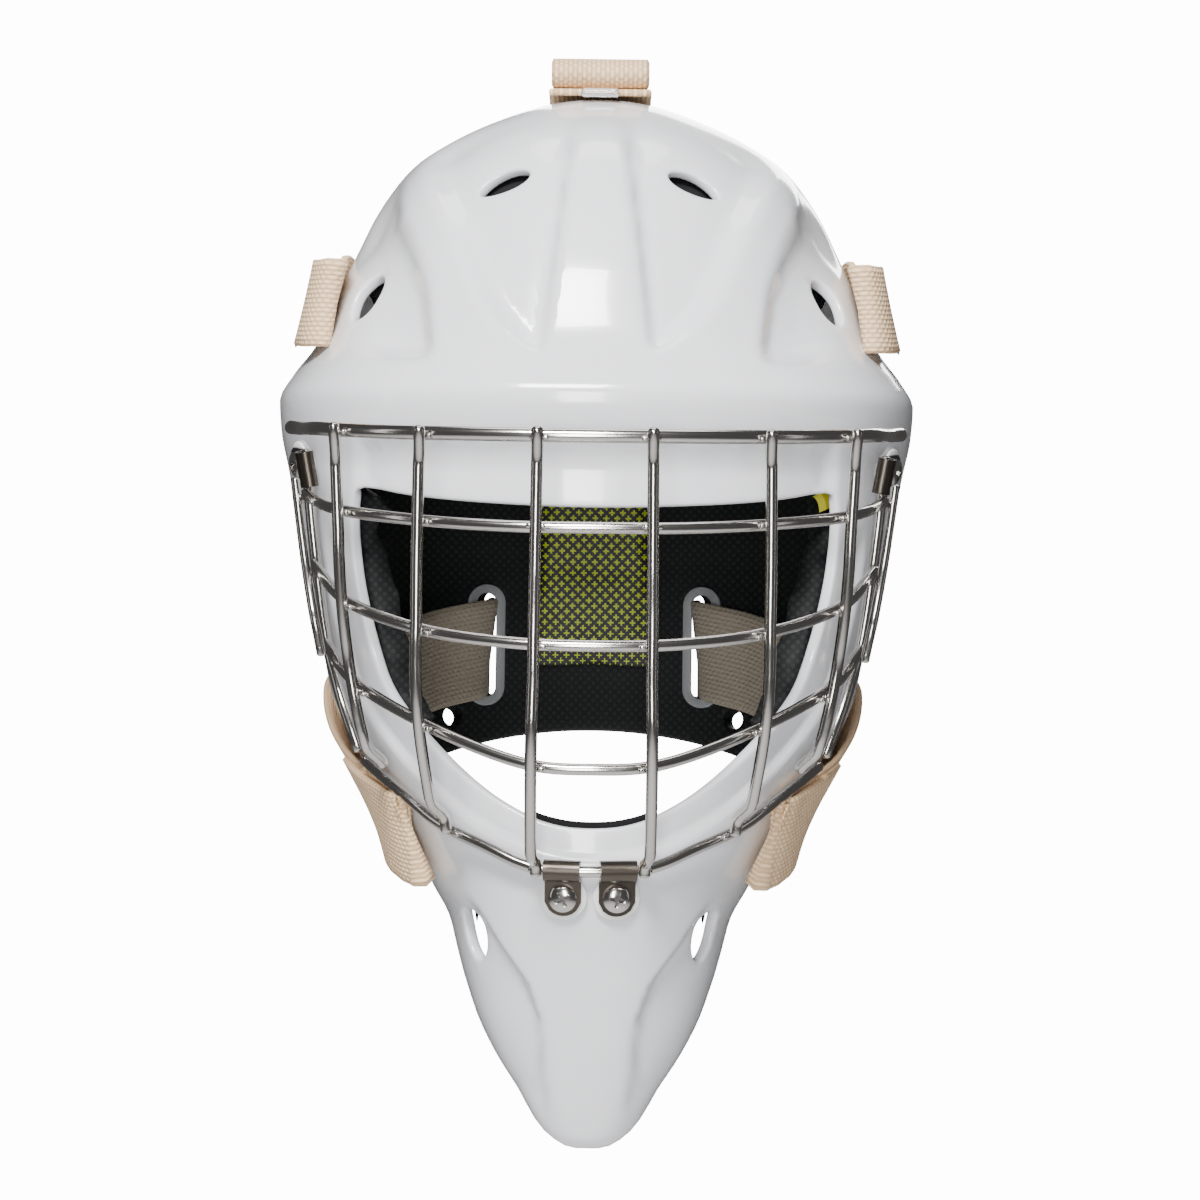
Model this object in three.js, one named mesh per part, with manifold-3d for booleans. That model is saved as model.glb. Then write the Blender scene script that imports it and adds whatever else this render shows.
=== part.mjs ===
// Goalie mask: a moulded shell, a welded wire cage held by clips, foam pads, and a backplate on elastic
// straps. Millimetres. +Z is up, the mask faces -Y, the wearer's left is +X, and the origin is the middle
// of the head at eye level.
import * as THREE from "three";
import { mergeVertices } from "three/addons/utils/BufferGeometryUtils.js";
import Module from "manifold-3d";

const wasm = await Module();
wasm.setup();

const shellWall = 4.2;
const crownHeight = 170.2;
const chinCut = -205;
const barRadius = 2.05;
const topBarRadius = 2.45;
const sideWireRadius = 1.7;
const weldGap = 0.3;
const ribbonWidth = 38;
const ribbonThick = 2.4;
const around = 60; // divisions of the shell around the face opening
const across = 11; // divisions of the shell from the face opening to its rear edge
const vents = [
  { x: 35, z: 139, length: 22, height: 11.5, tilt: 0.5 },
  { x: 84, z: 95, length: 16, height: 23, tilt: 0 },
  { x: 41.5, z: -135, length: 17, height: 22, tilt: 0 },
];
const rodSides = 8;
const heart = new THREE.Vector3(0, 0, -20); // the point that the shell's directions are measured from

const paint = {
  shell: { color: 0xe9ebee, roughness: 0.16, metalness: 0 },
  steel: { color: 0xc4c2bd, roughness: 0.22, metalness: 1 },
  darkSteel: { color: 0x7a7268, roughness: 0.38, metalness: 1 },
  foam: { color: 0x17181a, roughness: 0.85, metalness: 0 },
  lime: { color: 0xa8be14, roughness: 0.7, metalness: 0 },
  plate: { color: 0x141517, roughness: 0.5, metalness: 0 },
  trim: { color: 0x8d9093, roughness: 0.6, metalness: 0 },
  strap: { color: 0xe2cbac, roughness: 0.9, metalness: 0 },
  clear: { color: 0xd5dadd, roughness: 0.2, metalness: 0 },
  washer: { color: 0xeeeeec, roughness: 0.5, metalness: 0 },
};

const group = new THREE.Group();

function add(name, geometry, kind) {
  const mesh = new THREE.Mesh(geometry, new THREE.MeshStandardMaterial(paint[kind]));
  mesh.name = name;
  group.add(mesh);
  return mesh;
}

// ---- solids -------------------------------------------------------------------------------------

function toManifold(geometry) {
  const bare = geometry.clone();
  bare.deleteAttribute("normal");
  bare.deleteAttribute("uv");
  const merged = mergeVertices(bare, 1e-4);
  const mesh = new wasm.Mesh({
    numProp: 3,
    vertProperties: new Float32Array(merged.attributes.position.array),
    triVerts: new Uint32Array(merged.index.array),
  });
  return new wasm.Manifold(mesh);
}

function toGeometry(solid) {
  const mesh = solid.getMesh();
  const geometry = new THREE.BufferGeometry();
  const numbers = new Float32Array(mesh.vertProperties);
  geometry.setAttribute("position", new THREE.BufferAttribute(numbers, 3));
  geometry.setIndex(new THREE.BufferAttribute(new Uint32Array(mesh.triVerts), 1));
  geometry.computeVertexNormals();
  return geometry;
}

function cut(geometry, cutters) {
  let solid = toManifold(geometry);
  for (const cutter of cutters) solid = solid.subtract(toManifold(cutter));
  return toGeometry(solid);
}

// A closed solid from a grid of points on its outer face and the matching grid on its inner face.
// rows[i][j] runs i from edge to edge and j along each row; loop joins the end of each row to its start.
function skinnedSolid(outer, inner, loop) {
  const rows = outer.length;
  const columns = outer[0].length;
  const points = [...outer.flat(), ...inner.flat()];
  const back = rows * columns;
  const triangles = [];
  const at = (side, i, j) => side * back + i * columns + (j % columns);
  const quad = (a, b, c, d) => triangles.push(a, b, c, a, c, d);
  const lastColumn = loop ? columns : columns - 1;
  for (let i = 0; i < rows - 1; i++) {
    for (let j = 0; j < lastColumn; j++) {
      quad(at(0, i, j), at(0, i, j + 1), at(0, i + 1, j + 1), at(0, i + 1, j));
      quad(at(1, i, j), at(1, i + 1, j), at(1, i + 1, j + 1), at(1, i, j + 1));
    }
  }
  for (let j = 0; j < lastColumn; j++) {
    quad(at(0, 0, j), at(1, 0, j), at(1, 0, j + 1), at(0, 0, j + 1));
    quad(at(0, rows - 1, j), at(0, rows - 1, j + 1), at(1, rows - 1, j + 1), at(1, rows - 1, j));
  }
  if (!loop) {
    for (let i = 0; i < rows - 1; i++) {
      quad(at(0, i, 0), at(0, i + 1, 0), at(1, i + 1, 0), at(1, i, 0));
      const end = columns - 1;
      quad(at(0, i, end), at(1, i, end), at(1, i + 1, end), at(0, i + 1, end));
    }
  }
  const geometry = new THREE.BufferGeometry();
  const numbers = points.flatMap((p) => [p.x, p.y, p.z]);
  geometry.setAttribute("position", new THREE.Float32BufferAttribute(numbers, 3));
  geometry.setIndex(triangles);
  geometry.computeVertexNormals();
  return facingOut(geometry);
}

function facingOut(geometry) {
  if (toManifold(geometry).volume() >= 0) return geometry;
  const index = geometry.index.array;
  for (let i = 0; i < index.length; i += 3) [index[i], index[i + 1]] = [index[i + 1], index[i]];
  geometry.computeVertexNormals();
  return geometry;
}

function rodAlong(points, radius, steps) {
  const path = new THREE.CatmullRomCurve3(points, false, "centripetal");
  const ring = new THREE.Shape();
  ring.absarc(0, 0, radius, 0, 2 * Math.PI, false);
  const options = { steps, bevelEnabled: false, extrudePath: path, curveSegments: rodSides / 2 };
  return new THREE.ExtrudeGeometry(ring, options);
}

// A flat band along a line of points; lean gives the direction across its width at each point.
function ribbon(points, leans, width = ribbonWidth, thick = ribbonThick) {
  const outer = [];
  const inner = [];
  points.forEach((p, i) => {
    const before = points[Math.max(i - 1, 0)];
    const after = points[Math.min(i + 1, points.length - 1)];
    const along = after.clone().sub(before).normalize();
    const side = leans[i].clone().addScaledVector(along, -leans[i].dot(along)).normalize();
    const out = new THREE.Vector3().crossVectors(along, side).multiplyScalar(thick / 2);
    const edge = side.multiplyScalar(width / 2);
    outer.push([p.clone().sub(edge).add(out), p.clone().add(edge).add(out)]);
    inner.push([p.clone().sub(edge).sub(out), p.clone().add(edge).sub(out)]);
  });
  return skinnedSolid(outer, inner, false);
}

function extrude(shape, depth) {
  return new THREE.ExtrudeGeometry(shape, { depth, bevelEnabled: false, curveSegments: 6 });
}

function point(x, y, z) {
  return new THREE.Vector3(x, y, z);
}

function clamp01(t) {
  return Math.min(1, Math.max(0, t));
}

function smooth(t) {
  const s = clamp01(t);
  return s * s * (3 - 2 * s);
}

function bump(distance, reach) {
  return 1 - smooth(Math.abs(distance) / reach);
}

// ---- the form of the shell ----------------------------------------------------------------------

// Level sections of the shell's form: height, half width, y of the widest point, front y and rear y.
const sections = [
  [-207, 9, -82, -88, -72],
  [-200, 18, -78, -92.5, -52],
  [-188, 28, -73, -97.5, -30],
  [-168, 38.5, -66, -105, 0],
  [-144.5, 47, -58, -113, 22],
  [-118, 56.5, -46, -121, 60],
  [-85, 77, -27, -123, 90],
  [-51, 95.5, -8, -121, 110],
  [-30, 100.5, 0, -118, 120],
  [0, 107.5, 0, -114, 126],
  [31, 113, 0, -113, 128],
  [46, 116, 0, -119.5, 128],
  [57, 116.7, 0, -121.5, 127],
  [66, 112, 0, -116, 126],
  [77, 103.8, 0, -109, 124],
  [96, 96, 0, -101.5, 120],
  [114.7, 87.7, 2, -93, 114],
  [126.2, 82.1, 3, -87, 108],
  [143.9, 68.5, 5, -73, 95],
  [152.8, 55.5, 5, -60, 82],
  [162.1, 36.3, 5, -38, 58],
  [crownHeight, 0, 5, 5, 5],
];
const sectionPower = 2.25;

// A smooth curve through a rising table's rows that never swings past them: a value for each height.
function curveThrough(heights, values) {
  const gaps = heights.slice(1).map((z, i) => z - heights[i]);
  const rises = gaps.map((gap, i) => (values[i + 1] - values[i]) / gap);
  const last = heights.length - 1;
  const slopes = heights.map((_, i) => {
    if (i === 0) return rises[0];
    if (i === last) return rises[last - 1];
    if (rises[i - 1] * rises[i] <= 0) return 0;
    const before = 2 * gaps[i] + gaps[i - 1];
    const after = gaps[i] + 2 * gaps[i - 1];
    return (before + after) / (before / rises[i - 1] + after / rises[i]);
  });
  return (z) => {
    let i = 0;
    while (i < last - 1 && z > heights[i + 1]) i++;
    const t = (z - heights[i]) / gaps[i];
    const rest = 1 - t;
    const start = (1 + 2 * t) * rest * rest * values[i] + t * rest * rest * gaps[i] * slopes[i];
    const end = t * t * (3 - 2 * t) * values[i + 1] - t * t * rest * gaps[i] * slopes[i + 1];
    return start + end;
  };
}

// Squared radii are what is interpolated, so that the crown closes round.
const sectionHeights = sections.map((row) => row[0]);
const formCurves = {
  width: curveThrough(sectionHeights, sections.map((row) => row[1] ** 2)),
  middle: curveThrough(sectionHeights, sections.map((row) => row[2])),
  front: curveThrough(sectionHeights, sections.map((row) => (row[2] - row[3]) ** 2)),
  rear: curveThrough(sectionHeights, sections.map((row) => (row[4] - row[2]) ** 2)),
};

function sectionAt(z) {
  if (z >= crownHeight || z < sectionHeights[0] - 4) return null;
  const radius = (name) => Math.sqrt(Math.max(0, formCurves[name](z)));
  const [width, front, rear] = ["width", "front", "rear"].map(radius);
  return { width, front, rear, middle: formCurves.middle(z) };
}

function insideForm(p) {
  const s = sectionAt(p.z);
  if (!s || s.width <= 0) return false;
  const acrossShare = Math.abs(p.x) / s.width;
  const alongShare = Math.abs(p.y - s.middle) / (p.y < s.middle ? s.front : s.rear);
  return acrossShare ** sectionPower + alongShare ** sectionPower < 1;
}

// How far the moulded relief stands in from the plain form: scoops beside a central ridge on the forehead,
// valleys at the temples, and hollows beside the middle panel of the chin.
function relief(p) {
  const x = Math.abs(p.x);
  const forehead = smooth((p.z - 70) / 20) * smooth((152 - p.z) / 12) * smooth((-20 - p.y) / 30);
  const ridgeEdge = 11 + 0.1 * (130 - p.z);
  const scoopEdge = 66 - 0.62 * (142 - p.z);
  const scoopMiddle = (ridgeEdge + scoopEdge) / 2;
  const scoop = 5 * forehead * bump(x - scoopMiddle, Math.max(6, scoopEdge - scoopMiddle));
  const templeBand = smooth((p.z - 68) / 14) * smooth((140 - p.z) / 15);
  const temple = 5 * templeBand * bump(x - 84, 17) * smooth(-p.y / 30);
  const chinPanel = 12 + 0.24 * (p.z + 203);
  const chin = 3 * smooth((-118 - p.z) / 16) * bump(x - chinPanel - 7, 8);
  return scoop + temple + chin;
}

function direction(turn, fan) {
  return point(Math.sin(fan) * Math.sin(turn), -Math.cos(fan), Math.sin(fan) * Math.cos(turn));
}

// The point of the shell's outer face in a direction, moved inwards by a depth.
function surface(turn, fan, depth = 0) {
  const way = direction(turn, fan);
  let near = 10;
  let far = 320;
  for (let n = 0; n < 24; n++) {
    const half = (near + far) / 2;
    if (insideForm(heart.clone().addScaledVector(way, half))) near = half;
    else far = half;
  }
  const plain = heart.clone().addScaledVector(way, near);
  return plain.addScaledVector(way, -relief(plain) - depth);
}

function bisect(low, high, isLow) {
  for (let n = 0; n < 22; n++) {
    const half = (low + high) / 2;
    if (isLow(half)) low = half;
    else high = half;
  }
  return low;
}

// The face opening seen from the front, right half: x and z from the top middle to the bottom middle.
const openingRight = [
  [0, 18], [40, 19.5], [68, 22], [84, 26], [87, 20], [86.5, 0], [84, -15], [79.5, -32.5],
  [73, -49], [58, -66], [41, -81], [23, -91], [11, -94.4], [0, -95],
];

function openingReach(turn) {
  const way = [Math.abs(Math.sin(turn)), Math.cos(turn)];
  for (let i = 0; i < openingRight.length - 1; i++) {
    const [ax, az] = [openingRight[i][0], openingRight[i][1] - heart.z];
    const [bx, bz] = [openingRight[i + 1][0], openingRight[i + 1][1] - heart.z];
    const sideA = ax * way[1] - az * way[0];
    const sideB = bx * way[1] - bz * way[0];
    if (sideA <= 1e-9 && sideB >= -1e-9) {
      const t = sideA / (sideA - sideB || 1);
      return Math.hypot(ax + (bx - ax) * t, az + (bz - az) * t);
    }
  }
  return 75;
}

// The rear edge of the shell seen from the side: height and y.
const rearEdge = [
  [-209, -75], [-184, -66], [-155, -48], [-118, -22], [-90, -2], [-60, 24], [-30, 48], [30, 58],
  [100, 54], [150, 42], [172, 24],
];

function valueAt(table, z) {
  const last = table.length - 1;
  if (z <= table[0][0]) return table[0][1];
  if (z >= table[last][0]) return table[last][1];
  let i = 0;
  while (z > table[i + 1][0]) i++;
  const t = (z - table[i][0]) / (table[i + 1][0] - table[i][0]);
  return table[i][1] + t * (table[i + 1][1] - table[i][1]);
}

const fanLimits = new Map();

// The fan angles of the face opening's edge and of the rear edge, at a turn about the facing direction.
function fanRange(turn) {
  const key = turn.toFixed(5);
  if (!fanLimits.has(key)) {
    const reach = openingReach(turn);
    const open = bisect(0.05, 1.6, (fan) => {
      const p = surface(turn, fan);
      return Math.hypot(p.x, p.z - heart.z) < reach;
    });
    const rear = bisect(1.0, 2.4, (fan) => {
      const p = surface(turn, fan);
      return p.y < valueAt(rearEdge, p.z);
    });
    fanLimits.set(key, [open, rear]);
  }
  return fanLimits.get(key);
}

// A piece of the shell's wall: from one turn to another, and between two shares of the way from the face
// opening to the rear edge, with its two faces at two depths.
function wallPiece(turns, shares, depths, loop = false) {
  const face = (depth) =>
    shares.map((share) =>
      turns.map((turn) => {
        const [open, rear] = fanRange(turn);
        return surface(turn, open + (rear - open) * share, depth);
      }),
    );
  return skinnedSolid(face(depths[0]), face(depths[1]), loop);
}

function spread(from, to, count) {
  return Array.from({ length: count + 1 }, (_, i) => from + ((to - from) * i) / count);
}

function frontY(x, z) {
  const s = sectionAt(z);
  const share = Math.max(0, 1 - (Math.abs(x) / s.width) ** sectionPower);
  return s.middle - s.front * share ** (1 / sectionPower);
}

function sideX(y, z) {
  const s = sectionAt(z);
  const reach = y < s.middle ? s.front : s.rear;
  const share = Math.max(0, 1 - (Math.abs(y - s.middle) / reach) ** sectionPower);
  return s.width * share ** (1 / sectionPower);
}

// ---- shell --------------------------------------------------------------------------------------

// A cutter for an oval vent, square to the shell, with its length lying level before it is tilted.
function ventCutter({ x, z, length, height, tilt }, side) {
  const centre = shellPoint(side * x, z, 0);
  const out = shellPoint(side * x, z, 1).sub(centre);
  const level = point(-out.y, out.x, 0).normalize();
  const geometry = new THREE.CylinderGeometry(0.5, 0.5, 50, 20);
  geometry.scale(length, 1, height);
  geometry.rotateY(side * tilt);
  const frame = new THREE.Matrix4().makeBasis(level, out, point().crossVectors(level, out));
  return geometry.applyMatrix4(frame.setPosition(centre));
}

function makeShell() {
  const turns = spread(0, 2 * Math.PI, around).slice(0, -1);
  const wall = wallPiece(turns, spread(0, 1, across), [0, shellWall], true);
  const cutters = [];
  for (const side of [-1, 1]) {
    for (const vent of vents) cutters.push(ventCutter(vent, side));
  }
  for (const clip of clips) {
    const hole = new THREE.CylinderGeometry(screwHole, screwHole, 30, 12).rotateX(Math.PI / 2);
    cutters.push(hole.applyMatrix4(screwFrame(clip)));
  }
  cutters.push(new THREE.BoxGeometry(80, 80, 20).translate(0, -80, chinCut - 10));
  add("shell", cut(wall, cutters), "shell");
}

// ---- cage ---------------------------------------------------------------------------------------

// The line of the cage's lower rim seen from the front, right half: x and z.
const rimLine = [
  [0, -107.8], [15, -107.4], [23, -105], [33, -100], [49, -92], [59, -84.5], [76, -71], [88, -47],
  [94, -29], [99, 7], [104, 40],
];
const rimLift = 5;
const barStandOff = 9.9;
const bowStandOff = 36;

function rimHeight(x) {
  return valueAt(rimLine, Math.abs(x));
}

// The cage's y at a place seen from the front: close to the shell at the lower rim, bowed out above it.
function cageY(x, z) {
  const s = sectionAt(z);
  const bow = bowStandOff * Math.sin((Math.PI / 2) * clamp01((z - rimHeight(x)) / 62));
  const share = Math.max(0.004, 1 - (Math.abs(x) / (s.width + barStandOff)) ** sectionPower);
  return s.middle - (s.front + barStandOff + bow) * share ** (1 / sectionPower);
}

function shellPoint(x, z, lift) {
  const step = 0.5;
  const slopeX = (frontY(x + step, z) - frontY(x - step, z)) / (2 * step);
  const slopeZ = (frontY(x, z + step) - frontY(x, z - step)) / (2 * step);
  return point(x, frontY(x, z), z).addScaledVector(point(slopeX, -1, slopeZ).normalize(), lift);
}

function cagePoint(x, z, lift = 0) {
  const step = 0.5;
  const y = cageY(x, z);
  const slopeX = (cageY(x + step, z) - cageY(x - step, z)) / (2 * step);
  const slopeZ = (cageY(x, z + step) - cageY(x, z - step)) / (2 * step);
  const out = point(slopeX, -1, slopeZ).normalize();
  return point(x, y, z).addScaledVector(out, lift);
}

// Level bars: name and the right half of the line seen from the front, from the middle outwards.
const levelBars = [
  ["cage_bar_upper", [[0, 9.5], [30, 9.8], [60, 11.6], [89, 15.5], [98, 18.6], [103, 21.4]]],
  ["cage_bar_middle", [[0, -30.3], [30, -29.4], [60, -25.2], [87, -15.5], [95.5, -7.8], [100, -3.5]]],
  ["cage_bar_lower", [[0, -72], [22, -70.5], [57, -58], [85, -43], [92, -35.2], [95, -31.4]]],
];
// Upright bars: half of them, from the innermost; x at the top bar, the middle bar and the lower rim.
const uprightBars = [
  [[19, 44], [19.2, -28], [19, -70], [18.7, -109]],
  [[57.6, 44], [57.4, -15], [55.8, -55], [50, -95]],
  [[86.5, 45], [83, -14], [79.5, -42], [73, -73]],
];
const topBarLine = [[0, 40.5], [40, 40.8], [75, 41.8], [98, 43.6], [108, 45]];

function mirrored(half) {
  const left = half.slice(1).reverse().map(([x, z]) => [-x, z]);
  return [...left, ...half];
}

function fine(line, count) {
  const curve = new THREE.CatmullRomCurve3(line.map(([x, z]) => point(x, 0, z)), false, "centripetal");
  return curve.getPoints(count);
}

function makeCage() {
  const verticalLift = 2 * barRadius + weldGap;
  const along = (line, count, lift = 0) => fine(line, count).map((p) => cagePoint(p.x, p.z, lift));
  add("cage_top_bar", rodAlong(along(mirrored(topBarLine), 22), topBarRadius, 26), "steel");
  for (const [name, half] of levelBars) {
    add(name, rodAlong(along(mirrored(half), 20), barRadius, 22), "steel");
  }
  const lowerHalf = rimLine.slice(0, 7);
  const hugging = (line, count) => fine(line, count).map((p) => shellPoint(p.x, p.z, rimLift));
  add("cage_rim_lower", rodAlong(hugging(mirrored(lowerHalf), 20), barRadius, 20), "steel");
  for (const [side, label] of [[-1, "right"], [1, "left"]]) {
    const flip = (line) => line.map(([x, z]) => [side * x, z]);
    uprightBars.forEach((line, i) => {
      const lift = (p) => (verticalLift + topBarRadius - barRadius) * smooth((p.z - rimHeight(p.x)) / 8);
      const points = fine(flip(line), 14).map((p) => cagePoint(p.x, p.z, lift(p)));
      add(`cage_upright_${label}_${i + 1}`, rodAlong(points, barRadius, 15), "steel");
    });
    const sideRim = [[78.5, -67], [86, -47], [91, -29], [96, 7], [99, 38]];
    add(`cage_rim_${label}`, rodAlong(hugging(flip(sideRim), 10), barRadius, 10), "steel");
    const sideWire = [[101.5, 27], [98, 0], [91.5, -34]];
    add(`cage_side_wire_${label}`, rodAlong(along(flip(sideWire), 8, 4.8), sideWireRadius, 7), "steel");
  }
}

// ---- cage clips ---------------------------------------------------------------------------------

const clipWidth = 12.7;
const clipSheet = 1;
const clipGap = 1.3;
const screwHole = 2.6;

// Screws that hold the cage: the clip's name, x and z of the screw, and x and z of the wire beside it.
const clips = [
  ["chin_right", -9, -117.2, -9, -107.6],
  ["chin_left", 9, -117.2, 9, -107.6],
  ["temple_right", -104.6, 33, -98.3, 32],
  ["temple_left", 104.6, 33, 98.3, 32],
];

// The frame of a screw: its foot on the shell, Z out of the shell and Y towards the wire.
function screwFrame([, x, z, wireX, wireZ]) {
  const foot = shellPoint(x, z, 0);
  const out = shellPoint(x, z, 1).sub(foot);
  const wire = shellPoint(wireX, wireZ, 0).sub(foot);
  const up = wire.addScaledVector(out, -wire.dot(out)).normalize();
  const side = new THREE.Vector3().crossVectors(up, out);
  return new THREE.Matrix4().makeBasis(side, up, out).setPosition(foot);
}

function turned(profile, sides = 16) {
  const points = profile.map(([radius, height]) => new THREE.Vector2(radius, height));
  return facingOut(new THREE.LatheGeometry(points, sides).rotateX(Math.PI / 2));
}

// The clip's side outline: a flat tab on the shell that curls over the front of the wire, whose middle is
// given by its height above the shell and its distance from the screw.
function clipShape(height, distance) {
  const shape = new THREE.Shape();
  const inner = barRadius + clipGap;
  const outer = inner + clipSheet;
  const base = 1.8;
  const from = (-90 * Math.PI) / 180;
  const to = (115 * Math.PI) / 180;
  shape.moveTo(base + clipSheet, -6.5);
  shape.lineTo(base + clipSheet, distance - outer - 0.7);
  shape.absarc(height, distance, outer, from, to, false);
  shape.absarc(height, distance, inner, to, from, true);
  shape.lineTo(base, distance - inner - 0.9);
  shape.lineTo(base, -6.5);
  shape.closePath();
  return shape;
}

function makeClips() {
  for (const clip of clips) {
    const frame = screwFrame(clip);
    const name = clip[0];
    const wire = shellPoint(clip[3], clip[4], rimLift).applyMatrix4(frame.clone().invert());
    const sheet = extrude(clipShape(wire.z, wire.y), clipWidth);
    // The outline's first axis becomes Z, out of the shell, and its length runs along X.
    sheet.applyMatrix4(new THREE.Matrix4().makeBasis(point(0, 0, 1), point(0, 1, 0), point(-1, 0, 0)));
    sheet.translate(clipWidth / 2, 0, 0);
    const hole = new THREE.CylinderGeometry(screwHole, screwHole, 20, 12).rotateX(Math.PI / 2);
    add(`clip_${name}`, cut(sheet, [hole]).applyMatrix4(frame), "darkSteel");
    const padLine = [[screwHole, 0.8], [6.8, 0.8], [6.8, 1.5], [screwHole, 1.5], [screwHole, 0.8]];
    const pad = turned(padLine, 16);
    add(`clip_pad_${name}`, pad.applyMatrix4(frame), "washer");
    const screwLine = [[0, 5.2], [2.5, 5], [4.2, 4.1], [4.8, 3.1], [2, 3.1], [2, -7.5], [0, -7.5]];
    const screw = turned(screwLine, 12);
    add(`screw_${name}`, screw.applyMatrix4(frame), "steel");
    const nut = turned([[2.4, -5.2], [2.4, -7.2], [7.5, -7.2], [7.5, -5.2], [2.4, -5.2]], 12);
    add(`nut_${name}`, nut.applyMatrix4(frame), "steel");
  }
}

// ---- pads inside the shell ----------------------------------------------------------------------

const padStart = shellWall + 3;

// Pads: name, first and last turn in degrees from the top, shares of the way from the face opening to the
// rear edge, and the depths of the face on the shell and the face on the head.
const pads = [
  ["forehead_pad", -36, 36, 0.04, 0.42, padStart, 19, "foam"],
  ["crown_pad", -36, 36, 0.46, 0.96, padStart, 17, "foam"],
  ["temple_pad_right", -57, -39, 0.05, 0.95, padStart, 18, "foam"],
  ["temple_pad_left", 39, 57, 0.05, 0.95, padStart, 18, "foam"],
  ["impact_foam_left", 58.5, 65, 0.03, 0.3, padStart + 1, 16, "lime"],
  ["cheek_pad_right", -126, -60, 0.03, 0.94, padStart, 21, "foam"],
  ["cheek_pad_left", 67, 126, 0.03, 0.94, padStart, 21, "foam"],
  ["jaw_pad_right", -160, -129, 0.04, 0.9, padStart, 15, "foam"],
  ["jaw_pad_left", 129, 160, 0.04, 0.9, padStart, 15, "foam"],
  ["chin_pad", 163, 197, 0.03, 0.32, 9, 15, "foam"],
  ["sweatband", -35, 35, 0.06, 0.3, 21.4, 24, "foam"],
];

// Pockets in the pads for the ends of the temple screws and their nuts.
function nutPockets() {
  const temples = clips.filter(([name]) => name.startsWith("temple"));
  return temples.map((clip) => {
    const pocket = new THREE.CylinderGeometry(8.5, 8.5, 14, 12).rotateX(Math.PI / 2);
    return pocket.translate(0, 0, -2).applyMatrix4(screwFrame(clip));
  });
}

function makePads() {
  for (const [name, first, last, near, far, outside, inside, kind] of pads) {
    const turns = spread(first, last, Math.max(3, Math.round((last - first) / 7)));
    const radians = turns.map((degrees) => (degrees * Math.PI) / 180);
    const pad = wallPiece(radians, spread(near, far, 6), [outside, inside]);
    const besideNut = name.startsWith("cheek") || name.startsWith("impact");
    add(name, besideNut ? cut(pad, nutPockets()) : pad, kind);
  }
}

// ---- backplate ----------------------------------------------------------------------------------

const plateCentreY = 50;
const plateWall = 3.4;
const plateFoam = [4, 12];
const plateReach = (76 * Math.PI) / 180;
// Level sections of the backplate: height, and height with depth.
const plateWidths = [[-90, 88], [-50, 97], [0, 98], [60, 91], [100, 76], [128, 58]];
const plateDepths = [[-90, 74], [-50, 80], [0, 85], [60, 80], [100, 62], [128, 46]];
const slot = { x: 42.5, z: -33, length: 42, width: 9, trim: 2.4 };
const lowerHole = { x: 59, z: -62, radius: 4.5 };

function platePoint(turn, z, depth) {
  const x = (valueAt(plateWidths, z) - depth) * Math.sin(turn);
  const y = plateCentreY + (valueAt(plateDepths, z) - depth) * Math.cos(turn);
  return point(x, y, z);
}

function plateLayer(reach, depths, low, high, columns, rows) {
  const face = (depth) =>
    spread(0, 1, rows).map((share) =>
      spread(-reach, reach, columns).map((turn) => {
        const side = Math.sin(turn) ** 2;
        const bottom = low - 20 * side;
        const top = high - 40 * side;
        return platePoint(turn, bottom + (top - bottom) * share, depth);
      }),
    );
  return skinnedSolid(face(depths[0]), face(depths[1]), false);
}

function stadium(length, width) {
  const shape = new THREE.Shape();
  const run = (length - width) / 2;
  shape.absarc(0, run, width / 2, 0, Math.PI, false);
  shape.absarc(0, -run, width / 2, Math.PI, 2 * Math.PI, false);
  shape.closePath();
  return shape;
}

// The frame of a strap slot: Z out of the back of the plate and Y up.
function slotFrame(side, depth) {
  const turn = side * Math.asin(slot.x / valueAt(plateWidths, slot.z));
  const out = point(Math.sin(turn), Math.cos(turn), 0);
  const rise = platePoint(turn, slot.z + 15, depth).sub(platePoint(turn, slot.z - 15, depth)).normalize();
  const wide = new THREE.Vector3().crossVectors(rise, out).normalize();
  const normal = new THREE.Vector3().crossVectors(wide, rise);
  return new THREE.Matrix4().makeBasis(wide, rise, normal).setPosition(platePoint(turn, slot.z, depth));
}

function makeBackplate() {
  const cutters = [];
  for (const side of [-1, 1]) {
    const hollow = extrude(stadium(slot.length, slot.width), 60).rotateX(Math.PI / 2);
    cutters.push(hollow.translate(side * slot.x, 150, slot.z));
    const hole = new THREE.CylinderGeometry(lowerHole.radius, lowerHole.radius, 40, 12);
    cutters.push(hole.rotateZ(-side * 0.62).translate(side * lowerHole.x, 112, lowerHole.z));
  }
  const plate = plateLayer(plateReach, [0, plateWall], -66, 124, 16, 7);
  add("backplate", cut(plate, cutters), "plate");
  const foam = plateLayer(plateReach, plateFoam, -66, 124, 16, 7);
  add("backplate_foam", cut(foam, cutters), "foam");
  add("backplate_centre_pad", plateLayer(0.3, [14, 27], -41, 96, 6, 10), "lime");
  for (const [side, label] of [[-1, "right"], [1, "left"]]) {
    const ring = stadium(slot.length + 2 * slot.trim, slot.width + 2 * slot.trim);
    ring.holes.push(stadium(slot.length - 1, slot.width - 1));
    add(`slot_trim_${label}`, extrude(ring, 1.4).applyMatrix4(slotFrame(side, 15.1)), "trim");
  }
}

// ---- straps -------------------------------------------------------------------------------------

// A place on a strap: the middle of its width and the direction across it.
function onShellSide(side, y, z, lift, width = ribbonWidth) {
  const high = point(side * (sideX(y, z + width / 2) + lift), y, z + width / 2);
  const low = point(side * (sideX(y, z - width / 2) + lift), y, z - width / 2);
  return { at: high.clone().add(low).multiplyScalar(0.5), lean: high.sub(low) };
}

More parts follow.
